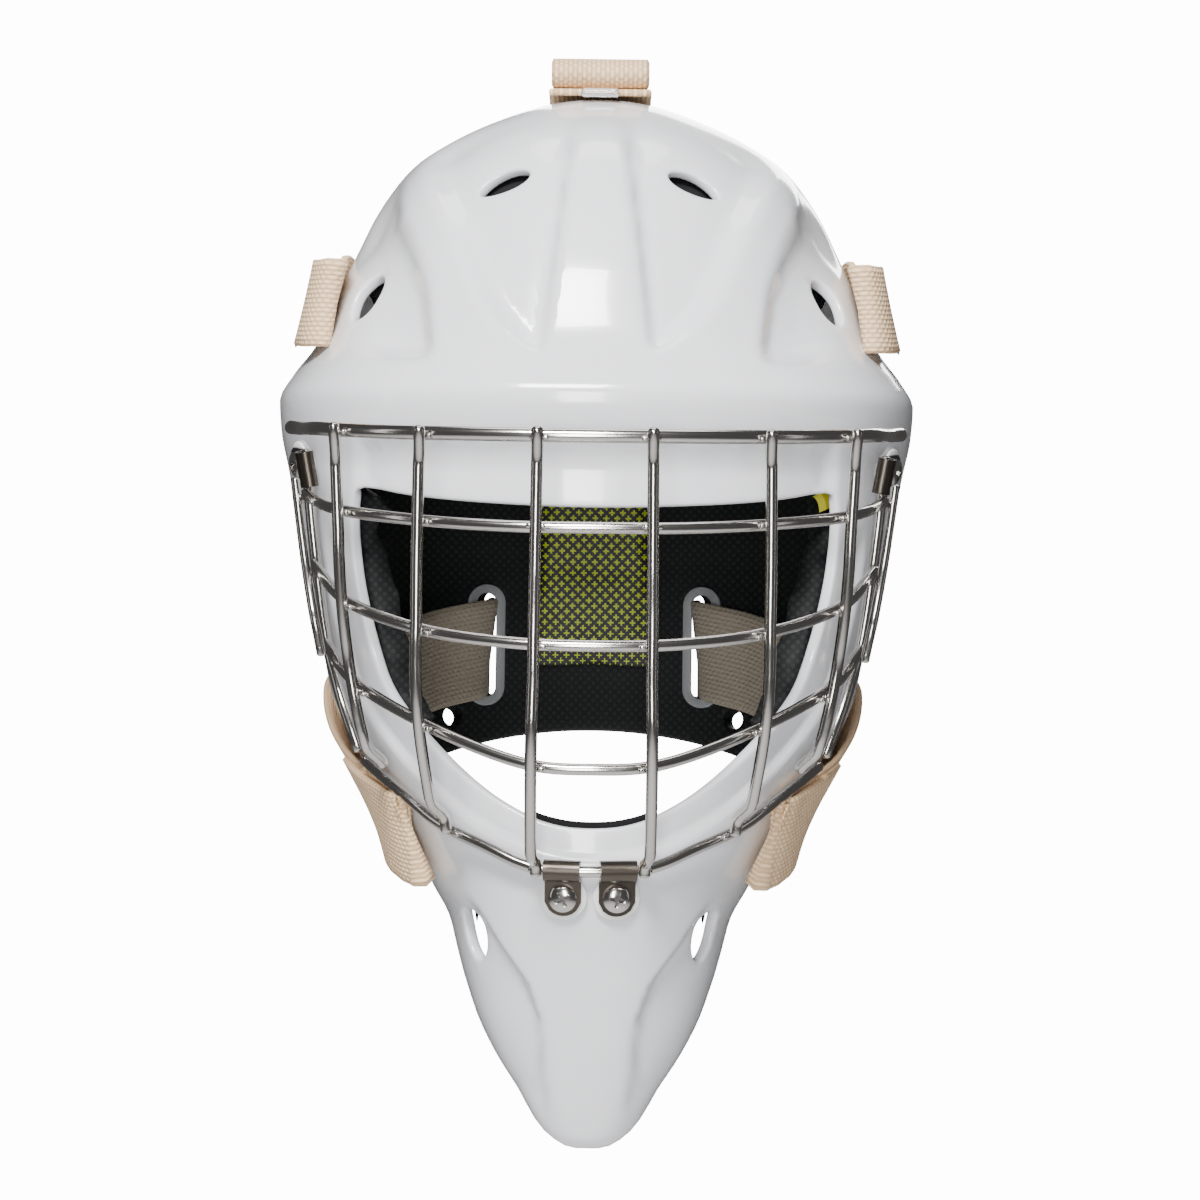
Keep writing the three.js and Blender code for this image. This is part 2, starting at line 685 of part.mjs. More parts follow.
function onPlate(side, share, z, depth, width = ribbonWidth) {
  const turn = side * share * plateReach;
  const high = platePoint(turn, z + width / 2, depth);
  const low = platePoint(turn, z - width / 2, depth);
  return { at: high.clone().add(low).multiplyScalar(0.5), lean: high.sub(low) };
}

function overHead(y, z) {
  return { at: point(0, y, z), lean: point(1, 0, 0) };
}

function strap(name, places, width = ribbonWidth, thick = ribbonThick, kind = "strap") {
  const points = places.map((place) => place.at);
  const leans = places.map((place) => place.lean);
  add(name, ribbon(points, leans, width, thick), kind);
}

function makeStraps() {
  const topLine = [
    [-14, 171.6], [5, 172.6], [24, 171.2], [48, 163], [70, 153], [90, 141], [104, 127], [114, 108],
  ];
  strap("top_strap", topLine.map(([y, z]) => overHead(y, z)));
  const tailLine = [[26, 176], [19, 182], [6, 184.5], [-6, 182], [-12, 176.5]];
  strap("top_strap_tail", tailLine.map(([y, z]) => overHead(y, z)), 36);
  strap("top_keeper", [[-22, 170.5], [-17, 171.5]].map(([y, z]) => overHead(y, z)), 14, 3, "clear");
  for (const [side, label] of [[-1, "right"], [1, "left"]]) {
    const upper = [
      onShellSide(side, -44, 95, 8, 32),
      onShellSide(side, -16, 97, 7.2, 32),
      onShellSide(side, 10, 99, 6, 32),
      onShellSide(side, 34, 98, 6, 32),
      onShellSide(side, 50, 94, 5.5, 32),
      onShellSide(side, 61, 88, 4, 32),
      onPlate(side, 1.0, 75, -6, 32),
      onPlate(side, 0.9, 69, -4.2, 32),
      onPlate(side, 0.78, 64, -4.2, 32),
    ];
    strap(`upper_strap_${label}`, upper, 32);
    const keeper = [-25, -20].map((y) => onShellSide(side, y, 96, 11, 32));
    strap(`upper_keeper_${label}`, keeper, 37, 3, "clear");
    const lower = [
      onPlate(side, 0.36, -34, 19),
      onPlate(side, 0.6, -38, 17),
      onPlate(side, 0.85, -44, 16),
      onShellSide(side, 48, -54, 3.4),
      onShellSide(side, 20, -65, 4.8),
      onShellSide(side, -6, -76, 5.6),
      onShellSide(side, -34, -88, 5.6),
      onShellSide(side, -60, -97, 5.4),
    ];
    strap(`lower_strap_${label}`, lower);
    const tail = [[-38, -89, 11], [-62, -98, 11], [-84, -105, 9.5]];
    strap(`lower_strap_tail_${label}`, tail.map(([y, z, lift]) => onShellSide(side, y, z, lift, 34)), 34);
  }
}

makeShell();
makeCage();
makeClips();
makePads();
makeBackplate();
makeStraps();

export default group;
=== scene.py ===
"""The looks of the goalie mask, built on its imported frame.

Lengths are millimetres until a mesh is made. +Z is up, the mask faces -Y and the wearer's left is +X.
"""

import math

import bpy
import numpy as np
from mathutils import Matrix, Vector
from mathutils.geometry import delaunay_2d_cdt


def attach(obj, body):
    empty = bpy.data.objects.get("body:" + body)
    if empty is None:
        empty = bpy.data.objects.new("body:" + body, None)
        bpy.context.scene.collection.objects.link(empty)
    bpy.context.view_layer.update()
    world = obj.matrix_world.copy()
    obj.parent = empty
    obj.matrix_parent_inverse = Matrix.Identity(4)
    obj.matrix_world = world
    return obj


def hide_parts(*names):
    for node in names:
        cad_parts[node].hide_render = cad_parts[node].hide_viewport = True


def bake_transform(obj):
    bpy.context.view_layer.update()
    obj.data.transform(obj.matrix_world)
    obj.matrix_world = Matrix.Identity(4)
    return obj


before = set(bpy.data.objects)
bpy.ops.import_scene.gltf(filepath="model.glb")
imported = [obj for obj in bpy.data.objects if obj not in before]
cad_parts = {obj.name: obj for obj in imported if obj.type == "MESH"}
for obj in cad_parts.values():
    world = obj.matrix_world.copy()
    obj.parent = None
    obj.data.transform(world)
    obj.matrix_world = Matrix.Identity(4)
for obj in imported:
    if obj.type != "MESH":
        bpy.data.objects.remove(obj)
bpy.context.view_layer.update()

MM = 0.001
SHELL_WALL = 4.2
CROWN_HEIGHT = 170.2
BAR_RADIUS = 2.05
TOP_BAR_RADIUS = 2.45
SIDE_WIRE_RADIUS = 1.7
WELD_GAP = 0.3
RIBBON_WIDTH = 38
RIBBON_THICK = 2.4
RIBBON_EDGE = 0.6  # how far in from its edges a ribbon starts to round off
HEART = np.array([0.0, 0.0, -20.0])
SECTION_POWER = 2.25
BODY = "mask_body"
BACK = "backplate_body"

# ---- camera ----------------------------------------------------------------------------------------

CAMERA_DISTANCE = 1.8
FRAME_WIDTH = 0.444  # what the picture spans at the middle of the mask, in metres
SENSOR = 36.0
CAMERA_PLACE = (0.0022, -CAMERA_DISTANCE, -0.0148)
CAMERA_ROLL = math.radians(0.72)


def make_camera():
    data = bpy.data.cameras.new("camera")
    data.sensor_width = SENSOR
    data.lens = SENSOR * CAMERA_DISTANCE / FRAME_WIDTH
    data.clip_end = 20
    camera = bpy.data.objects.new("camera", data)
    bpy.context.scene.collection.objects.link(camera)
    camera.matrix_world = (
        Matrix.Translation(CAMERA_PLACE)
        @ Matrix.Rotation(math.radians(90), 4, "X")
        @ Matrix.Rotation(CAMERA_ROLL, 4, "Z")
    )
    bpy.context.scene.camera = camera


# ---- the form of the shell --------------------------------------------------------------------------

# Level sections of the form: height, half width, y of the widest point, front y and rear y.
SECTIONS = np.array(
    [
        [-207, 9, -82, -88, -72],
        [-200, 18, -78, -92.5, -52],
        [-188, 28, -73, -97.5, -30],
        [-168, 38.5, -66, -105, 0],
        [-144.5, 47, -58, -113, 22],
        [-118, 56.5, -46, -121, 60],
        [-85, 77, -27, -123, 90],
        [-51, 95.5, -8, -121, 110],
        [-30, 100.5, 0, -118, 120],
        [0, 107.5, 0, -114, 126],
        [31, 113, 0, -113, 128],
        [46, 116, 0, -119.5, 128],
        [57, 116.7, 0, -121.5, 127],
        [66, 112, 0, -116, 126],
        [77, 103.8, 0, -109, 124],
        [96, 96, 0, -101.5, 120],
        [114.7, 87.7, 2, -93, 114],
        [126.2, 82.1, 3, -87, 108],
        [143.9, 68.5, 5, -73, 95],
        [152.8, 55.5, 5, -60, 82],
        [162.1, 36.3, 5, -38, 58],
        [CROWN_HEIGHT, 0, 5, 5, 5],
    ]
)

# The face opening seen from the front, right half: x and z from the top middle to the bottom middle.
OPENING_RIGHT = np.array(
    [
        [0, 18], [40, 19.5], [68, 22], [84, 26], [87, 20], [86.5, 0], [84, -15], [79.5, -32.5],
        [73, -49], [58, -66], [41, -81], [23, -91], [11, -94.4], [0, -95],
    ]
)  # fmt: skip

# The rear edge of the shell seen from the side: height and y.
REAR_EDGE = np.array(
    [
        [-209, -75], [-184, -66], [-155, -48], [-118, -22], [-90, -2], [-60, 24], [-30, 48], [30, 58],
        [100, 54], [150, 42], [172, 24],
    ]
)  # fmt: skip


def smooth(t):
    s = np.clip(t, 0, 1)
    return s * s * (3 - 2 * s)


def curve_through(heights, values):
    """A smooth curve through a table's rows that never swings past them."""
    gaps = np.diff(heights)
    rises = np.diff(values) / gaps
    slopes = np.concatenate([rises[:1], np.zeros(len(gaps) - 1), rises[-1:]])
    for i in range(1, len(gaps)):
        if rises[i - 1] * rises[i] > 0:
            before = 2 * gaps[i] + gaps[i - 1]
            after = gaps[i] + 2 * gaps[i - 1]
            slopes[i] = (before + after) / (before / rises[i - 1] + after / rises[i])

    def at(z):
        i = np.clip(np.searchsorted(heights, z) - 1, 0, len(gaps) - 1)
        t = (z - heights[i]) / gaps[i]
        rest = 1 - t
        start = (1 + 2 * t) * rest**2 * values[i] + t * rest**2 * gaps[i] * slopes[i]
        end = t**2 * (3 - 2 * t) * values[i + 1] - t**2 * rest * gaps[i] * slopes[i + 1]
        return start + end

    return at


HEIGHTS = SECTIONS[:, 0]
width_squared = curve_through(HEIGHTS, SECTIONS[:, 1] ** 2)
middle_y = curve_through(HEIGHTS, SECTIONS[:, 2])
front_squared = curve_through(HEIGHTS, (SECTIONS[:, 2] - SECTIONS[:, 3]) ** 2)
rear_squared = curve_through(HEIGHTS, (SECTIONS[:, 4] - SECTIONS[:, 2]) ** 2)


def section_at(z):
    radii = [np.sqrt(np.maximum(curve(z), 1e-9)) for curve in (width_squared, front_squared, rear_squared)]
    return radii[0], middle_y(z), radii[1], radii[2]


def inside_form(p):
    x, y, z = p[:, 0], p[:, 1], p[:, 2]
    width, middle, front, rear = section_at(z)
    reach = np.where(y < middle, front, rear)
    share = (np.abs(x) / width) ** SECTION_POWER + (np.abs(y - middle) / reach) ** SECTION_POWER
    return (share < 1) & (z < CROWN_HEIGHT) & (z > HEIGHTS[0] - 4)


def rounded(loop, passes=3):
    """A closed outline with its corners cut round."""
    for _ in range(passes):
        ahead = np.roll(loop, -1, axis=0)
        loop = np.stack([0.75 * loop + 0.25 * ahead, 0.25 * loop + 0.75 * ahead], axis=1).reshape(-1, 2)
    return loop


def opening_table():
    """The turns and reaches of the face opening's rounded outline, measured from the heart."""
    left = OPENING_RIGHT[1:-1][::-1] * [-1, 1]
    loop = rounded(np.vstack([OPENING_RIGHT, left]))
    x, z = loop[:, 0], loop[:, 1] - HEART[2]
    order = np.argsort(np.arctan2(x, z))
    return np.arctan2(x, z)[order], np.hypot(x, z)[order]


OPENING_TURNS, OPENING_REACHES = opening_table()

# The edge of the chin's raised middle panel: height and half width.
CHIN_PANEL = np.array([[-207, 11.5], [-198, 12], [-163, 15], [-149, 20], [-134, 31], [-115, 42]])
# The outer edge of the forehead's scoops and the inner edge of the temple valleys: height and x.
SCOOP_EDGE = np.array([[70, 22], [72.5, 25.6], [80, 36], [93, 45.5], [117, 55], [138, 65], [168, 72]])
VALLEY_EDGE = np.array([[60, 55], [74, 56], [95, 58.6], [110, 64], [122, 69.5], [133, 70], [145, 68]])
# How deep each part of the moulded relief is.
SCOOP_DEPTH = 6.2
VALLEY_DEPTH = 5.5
BROW_STEP = 3.5
SEAT_DEPTH = 2.4
CHIN_DEPTH = 4.5


def opening_reach(turn):
    return np.interp(turn, OPENING_TURNS, OPENING_REACHES, period=2 * math.pi)


def relief(p):
    """How far the moulded relief stands in: scoops on the forehead, temple valleys, the step under the
    brow, the seat of the cage round the face opening, and hollows beside the chin's middle panel."""
    x, y, z = np.abs(p[:, 0]), p[:, 1], p[:, 2]
    forehead = smooth((z - 69) / 9) * smooth((170 - z) / 34) * smooth((-14 - y) / 26)
    ridge_edge = 9.5 + 0.12 * (137 - z)
    scoop_edge = np.interp(z, SCOOP_EDGE[:, 0], SCOOP_EDGE[:, 1])
    scoop = SCOOP_DEPTH * forehead * smooth((x - ridge_edge) / 5) * smooth((scoop_edge - x) / 13)
    valley_edge = np.interp(z, VALLEY_EDGE[:, 0], VALLEY_EDGE[:, 1])
    temple_band = smooth((z - 66) / 12) * smooth((143 - z) / 22) * smooth(-y / 30)
    valley = smooth((x - valley_edge) / 7) * smooth((valley_edge + 36 - x) / 24)
    temple = VALLEY_DEPTH * temple_band * valley
    front = smooth((-30 - y) / 15)
    brow = BROW_STEP * front * smooth((43 - z) / 2.5) * smooth((86 - x) / 4) * smooth((z + 4) / 12)
    from_edge = np.hypot(p[:, 0], z - HEART[2]) - opening_reach(np.arctan2(p[:, 0], z - HEART[2]))
    seat = SEAT_DEPTH * front * smooth((11 - from_edge) / 2.2) * smooth((14 - z) / 16)
    panel = np.interp(z, CHIN_PANEL[:, 0], CHIN_PANEL[:, 1])
    flank = smooth((x - panel) / 5) * smooth((panel + 34 - x) / 24) * smooth((-20 - y) / 30)
    chin = CHIN_DEPTH * flank * smooth((-116 - z) / 18) * smooth((z + 203) / 14)
    return scoop + temple + brow + seat + chin


def direction(turn, fan):
    return np.stack([np.sin(fan) * np.sin(turn), -np.cos(fan), np.sin(fan) * np.cos(turn)], axis=-1)


def surface(turn, fan, depth=0.0):
    """Points of the shell's outer face in given directions from the heart, moved in by a depth."""
    way = direction(turn, fan)
    near = np.full(len(way), 10.0)
    far = np.full(len(way), 320.0)
    for _ in range(30):
        half = (near + far) / 2
        inner = inside_form(HEART + way * half[:, None])
        near = np.where(inner, half, near)
        far = np.where(inner, far, half)
    plain = HEART + way * near[:, None]
    return plain - way * (relief(plain) + depth)[:, None]


def bisect(low, high, is_low):
    for _ in range(26):
        half = (low + high) / 2
        below = is_low(half)
        low = np.where(below, half, low)
        high = np.where(below, high, half)
    return low


def fan_range(turn):
    """The fan angles of the face opening's edge and of the rear edge."""
    reach = opening_reach(turn)

    def before_opening(fan):
        p = surface(turn, fan)
        return np.hypot(p[:, 0], p[:, 2] - HEART[2]) < reach

    def before_rear(fan):
        p = surface(turn, fan)
        return p[:, 1] < np.interp(p[:, 2], REAR_EDGE[:, 0], REAR_EDGE[:, 1])

    opening = bisect(np.full(len(turn), 0.05), np.full(len(turn), 1.6), before_opening)
    rear = bisect(np.full(len(turn), 1.0), np.full(len(turn), 2.4), before_rear)
    return opening, rear


def front_y(x, z):
    width, middle, front, _ = section_at(z)
    share = np.maximum(0, 1 - (np.abs(x) / width) ** SECTION_POWER)
    return middle - front * share ** (1 / SECTION_POWER)


def side_x(y, z):
    width, middle, front, rear = section_at(z)
    reach = np.where(y < middle, front, rear)
    share = np.maximum(0, 1 - (np.abs(y - middle) / reach) ** SECTION_POWER)
    return width * share ** (1 / SECTION_POWER)


# ---- meshes -----------------------------------------------------------------------------------------

RIM_STEPS = 6  # of the rounding of a wall's rim
TURNED_SIDES = 40
SHARP_ANGLE = 35  # degrees from which an edge stays sharp


def new_piece(name, points, faces, material, slot, shade_smooth=True, uv=None):
    mesh = bpy.data.meshes.new(name)
    mesh.from_pydata((np.asarray(points, float) * MM).tolist(), [], [list(map(int, f)) for f in faces])
    mesh.update()
    if uv is not None:
        layer = mesh.uv_layers.new(name="UVMap")
        corners = np.empty(len(mesh.loops), np.int64)
        mesh.loops.foreach_get("vertex_index", corners)
        layer.data.foreach_set("uv", np.asarray(uv, float)[corners].ravel())
    mesh.polygons.foreach_set("use_smooth", [shade_smooth] * len(mesh.polygons))
    mesh.materials.append(material)
    piece = bpy.data.objects.new(name, mesh)
    bpy.context.scene.collection.objects.link(piece)
    return piece


def unit(v):
    v = np.asarray(v, float)
    return v / np.maximum(np.linalg.norm(v, axis=-1, keepdims=True), 1e-12)


def cut_flat(loops, grid):
    """The points and triangles that fill the first outline, less the others, with a grid's points inside."""
    flat = [p for loop in loops for p in loop] + list(grid)
    edges = []
    start = 0
    for loop in loops:
        count = len(loop)
        edges += [(start + i, start + (i + 1) % count) for i in range(count)]
        start += count
    made = delaunay_2d_cdt([Vector(p) for p in flat], edges, [], 0, 1e-7)
    domain = np.array([tuple(v) for v in made[0]])
    triangles = np.array(made[2])
    centres = domain[triangles].mean(axis=1)
    keep = within(centres, loops[0])
    for hole in loops[1:]:
        keep &= ~within(centres, hole)
    return domain, triangles[keep]


def rounded_rim(outer, normals, triangles, wall, edge):
    """The points and faces that take a wall's rim round from its outer face to its inner one, along every
    edge that only one triangle uses."""
    used = dict.fromkeys(pair for a, b, c in triangles for pair in ((a, b), (b, c), (c, a)))
    border = [(i, j) for i, j in used if (j, i) not in used]
    away = {}
    for i, j in border:
        out = np.cross(outer[j] - outer[i], normals[i])
        for k in (i, j):
            away[k] = away.get(k, 0) + unit(out)
    count = len(outer)
    points, faces, arcs = [], [], {}
    for k, out in away.items():
        start = 2 * count + len(points)
        for step in range(1, RIM_STEPS):
            angle = math.pi * step / RIM_STEPS
            lift = normals[k] * (wall / 2) * (math.cos(angle) - 1)
            points.append(outer[k] + lift + unit(out) * edge * math.sin(angle) ** 0.6)
        arcs[k] = [k, *range(start, 2 * count + len(points)), count + k]
    for i, j in border:
        faces += zip(arcs[i], arcs[i][1:], arcs[j][1:], arcs[j])
    return np.array(points), faces


def skin(name, loops, grid, place, wall, edge, material, slot):
    """A curved wall with holes. loops are closed outlines in a flat domain, the outside one first, and grid
    the points between them. place turns domain points into points of the outer face and its normals."""
    domain, triangles = cut_flat(loops, grid)
    outer, normals = place(domain)
    corner = outer[triangles]
    facing = np.cross(corner[:, 1] - corner[:, 0], corner[:, 2] - corner[:, 0])
    turned = np.einsum("ij,ij->i", facing, normals[triangles[:, 0]]) < 0
    triangles[turned] = triangles[turned][:, ::-1]
    faces = [tuple(t) for t in triangles] + [tuple(len(domain) + t[::-1]) for t in triangles]
    rim_points, rim_faces = rounded_rim(outer, normals, triangles, wall, edge)
    points = np.vstack([outer, outer - normals * wall, rim_points])
    return new_piece(name, points, faces + rim_faces, material, slot)


def within(points, loop):
    """Which points lie inside a closed outline."""
    loop = np.asarray(loop, float)
    x, y = points[:, 0], points[:, 1]
    found = np.zeros(len(points), bool)
    for (ax, ay), (bx, by) in zip(loop, np.roll(loop, -1, axis=0)):
        if ay == by:
            continue
        crosses = (ay > y) != (by > y)
        found ^= crosses & (x < ax + (y - ay) / (by - ay) * (bx - ax))
    return found


def ring_faces(rings, sides, closed=True):
    """The faces between rings of points that follow one another, and over both ends if closed."""
    faces = []
    for i in range(rings - 1):
        for j in range(sides):
            k = (j + 1) % sides
            faces.append((i * sides + j, i * sides + k, (i + 1) * sides + k, (i + 1) * sides + j))
    if closed:
        faces.append(tuple(range(sides))[::-1])
        faces.append(tuple((rings - 1) * sides + j for j in range(sides)))
    return faces


def flipped(faces):
    """The same faces with their other side out."""
    return [(f[0], *f[:0:-1]) for f in faces]


def tube(points, radius, sides=18):
    """The points and faces of a rod with rounded ends along a line of points."""
    points = np.asarray(points, float)
    along = unit(np.gradient(points, axis=0))
    side = unit(np.cross(along[0], [0.3, 0.5, 0.8]))
    sides_at = np.linspace(0, 2 * math.pi, sides, endpoint=False)

    def ring(centre, a, b, r):
        return centre + r * (np.outer(np.cos(sides_at), a) + np.outer(np.sin(sides_at), b))

    frames = []
    for centre, way in zip(points, along):
        side = unit(side - way * np.dot(side, way))
        frames.append((centre, side, np.cross(way, side)))
    rings = []
    steps = [math.radians(a) for a in (75, 50, 25)]
    for angle in steps:
        shift = -along[0] * radius * math.sin(angle) * 0.6
        rings.append(ring(frames[0][0] + shift, *frames[0][1:], radius * math.cos(angle)))
    rings += [ring(*f, radius) for f in frames]
    for angle in reversed(steps):
        shift = along[-1] * radius * math.sin(angle) * 0.6
        rings.append(ring(frames[-1][0] + shift, *frames[-1][1:], radius * math.cos(angle)))
    return np.vstack(rings), ring_faces(len(rings), sides)


def lathe(profile):
    """The points and faces of a solid turned from a profile of radii and heights."""
    angles = np.linspace(0, 2 * math.pi, TURNED_SIDES, endpoint=False)
    circle = np.stack([np.cos(angles), np.sin(angles)], axis=1)
    rings = [np.column_stack([r * circle, np.full(TURNED_SIDES, h)]) for r, h in profile]
    return np.vstack(rings), flipped(ring_faces(len(profile), TURNED_SIDES, closed=False))


def block(size, centre, matrix):
    half = np.array(size) / 2
    corners = np.array([[x, y, z] for x in (-1, 1) for y in (-1, 1) for z in (-1, 1)]) * half + centre
    faces = [(0, 1, 3, 2), (4, 6, 7, 5), (0, 4, 5, 1), (2, 3, 7, 6), (0, 2, 6, 4), (1, 5, 7, 3)]
    return moved(corners, matrix), faces


def moved(points, matrix):
    return np.asarray(points) @ matrix[:3, :3].T + matrix[:3, 3]


def solid_grid(outer, inner):
    """The points and faces of a closed solid between two matching grids of points."""
    rows, columns = outer.shape[:2]
    back = rows * columns
    faces = []
    for i in range(rows - 1):
        for j in range(columns - 1):
            a = i * columns + j
            b, c, d = a + 1, a + columns + 1, a + columns
            faces += [(a, b, c, d), (back + d, back + c, back + b, back + a)]
    ring = list(range(columns))
    ring += [i * columns + columns - 1 for i in range(1, rows)]
    ring += [(rows - 1) * columns + j for j in range(columns - 2, -1, -1)]
    ring += [i * columns for i in range(rows - 2, 0, -1)]
    for a, b in zip(ring, ring[1:] + ring[:1]):
        faces.append((b, a, back + a, back + b))
    return np.vstack([outer.reshape(-1, 3), inner.reshape(-1, 3)]), faces


def joined(parts):
    """Several lists of points and faces as one."""
    points, faces, start = [], [], 0
    for part_points, part_faces in parts:
        points.append(part_points)
        faces += [tuple(start + k for k in f) for f in part_faces]
        start += len(part_points)
    return np.vstack(points), faces


def catmull(line, count):
    """Points evenly spread along a smooth curve through a line of points."""
    line = np.asarray(line, float)
    padded = np.vstack([2 * line[0] - line[1], line, 2 * line[-1] - line[-2]])
    knots = np.concatenate([[0], np.cumsum(np.linalg.norm(np.diff(padded, axis=0), axis=1) ** 0.5)])
    out = []
    for i in range(1, len(padded) - 2):
        t = np.linspace(knots[i], knots[i + 1], 40, endpoint=i == len(padded) - 3)[:, None]
        t0, t1, t2, t3 = knots[i - 1 : i + 3]
        p0, p1, p2, p3 = padded[i - 1 : i + 3]
        a1 = (t1 - t) / (t1 - t0) * p0 + (t - t0) / (t1 - t0) * p1
        a2 = (t2 - t) / (t2 - t1) * p1 + (t - t1) / (t2 - t1) * p2
        a3 = (t3 - t) / (t3 - t2) * p2 + (t - t2) / (t3 - t2) * p3
        b1 = (t2 - t) / (t2 - t0) * a1 + (t - t0) / (t2 - t0) * a2
        b2 = (t3 - t) / (t3 - t1) * a2 + (t - t1) / (t3 - t1) * a3
        out.append((t2 - t) / (t2 - t1) * b1 + (t - t1) / (t2 - t1) * b2)
    curve = np.vstack(out)
    lengths = np.concatenate([[0], np.cumsum(np.linalg.norm(np.diff(curve, axis=0), axis=1))])
    even = np.linspace(0, lengths[-1], count)
    return np.stack([np.interp(even, lengths, curve[:, k]) for k in range(curve.shape[1])], axis=1)


def apply_modifiers(piece):
    bpy.context.view_layer.update()
    finished = bpy.data.meshes.new_from_object(piece.evaluated_get(bpy.context.evaluated_depsgraph_get()))
    piece.modifiers.clear()
    piece.data = finished


def cut_away(piece, cutters):
    for points, faces in cutters:
        cutter = new_piece("cutter", points, faces, DARK_STEEL, "dark_steel", shade_smooth=False)
        change = piece.modifiers.new("cut", "BOOLEAN")
        change.object = cutter
        change.solver = "EXACT"
        apply_modifiers(piece)
        bpy.data.objects.remove(cutter)


def crisp(piece):
    """Smooth shading that keeps sharp edges."""
    bpy.context.view_layer.objects.active = piece
    piece.select_set(True)
    bpy.ops.object.shade_smooth_by_angle(angle=math.radians(SHARP_ANGLE))
    piece.select_set(False)


# ---- materials --------------------------------------------------------------------------------------

STITCH_ROW = 1.7
STITCH_LENGTH = 2.3
# Darker taupe painted onto each lower strap near its slot: painted shade inside the mask, not a cloth of its
# own.
STRAP_SHADE_PAINT = (0.25, 0.215, 0.165)
SHADE_PAINTED_LENGTH = 92  # how far each lower strap is painted taupe as painted shade, from its slot in the backplate
CLOTH_DARK = (0.52, 0.33, 0.175)
CLOTH_LIGHT = (0.95, 0.70, 0.44)
SIGN_CELL = 4.3  # from one lime plus sign to the next
SIGN_REACH = 0.27  # of a sign's arms, in cells
PRINT_BOTTOM = -0.0405  # height of the lowest printed point, in metres
LIME_INK = (0.42, 0.52, 0.012)
DOT_CELL = 3.4  # from one pressed dot to the next
# The sockets of a Mix node that mixes colours.
MIX_FACTOR, MIX_FIRST, MIX_SECOND, MIX_RESULT = 0, 6, 7, 2


def material(name, color, roughness, metallic=0.0, coat=0.0, sheen=0.0, specular=0.5):
    made = bpy.data.materials.new(name)
    made.use_nodes = True
    shader = made.node_tree.nodes["Principled BSDF"]
    shader.inputs["Base Color"].default_value = (*color, 1)
    shader.inputs["Roughness"].default_value = roughness
    shader.inputs["Metallic"].default_value = metallic
    shader.inputs["Coat Weight"].default_value = coat
    shader.inputs["Coat Roughness"].default_value = 0.05
    shader.inputs["Sheen Weight"].default_value = sheen
    shader.inputs["Specular IOR Level"].default_value = specular
    return made


def node(made, kind, inputs=None, **settings):
    found = made.node_tree.nodes.new(kind)
    for key, value in settings.items():
        setattr(found, key, value)
    for key, value in (inputs or {}).items():
        found.inputs[key].default_value = value
    return found


def link(made, output, target):
    made.node_tree.links.new(output, target)


def shader_input(made, name):
    return made.node_tree.nodes["Principled BSDF"].inputs[name]


def add_bump(made, height, strength, distance):
    """Raises the surface by a height output."""
    bumps = node(made, "ShaderNodeBump", {"Strength": strength, "Distance": distance})
    link(made, height, bumps.inputs["Height"])
    link(made, bumps.outputs["Normal"], shader_input(made, "Normal"))


def noise(made, scale, detail=3.0):
    where = node(made, "ShaderNodeTexCoord")
    texture = node(made, "ShaderNodeTexNoise", {"Scale": scale, "Detail": detail})
    link(made, where.outputs["Object"], texture.inputs["Vector"])
    return texture.outputs["Fac"]


def place_on(made, coordinates):
    """The X, Y and Z outputs of a point's place in the given coordinates."""
    where = node(made, "ShaderNodeTexCoord")
    split = node(made, "ShaderNodeSeparateXYZ")
    link(made, where.outputs[coordinates], split.inputs[0])
    return split.outputs


def mixed(made, factor, first, second):
    """An output that goes from the first colour to the second, each fixed or an output, by a factor."""
    mix = node(made, "ShaderNodeMix", data_type="RGBA")
    link(made, factor, mix.inputs[MIX_FACTOR])
    for socket, color in ((MIX_FIRST, first), (MIX_SECOND, second)):
        if isinstance(color, tuple):
            mix.inputs[socket].default_value = (*color, 1)
        else:
            link(made, color, mix.inputs[socket])
    return mix.outputs[MIX_RESULT]


def math_node(made, operation, a, b=None):
    made_node = node(made, "ShaderNodeMath", operation=operation)
    for socket, value in zip(made_node.inputs, (a, b)):
        if value is None:
            continue
        if isinstance(value, (int, float)):
            socket.default_value = value
        else:
            link(made, value, socket)
    return made_node.outputs[0]


def steel_material(name, color, roughness):
    made = material(name, color, roughness, metallic=1.0)
    add_bump(made, noise(made, 260, 2.0), 0.06, 0.0004)
    return made


def foam_material():
    made = material("foam_black", (0.007, 0.007, 0.008), 0.78, specular=0.25)
    add_bump(made, noise(made, 900, 4.0), 0.25, 0.0004)
    return made


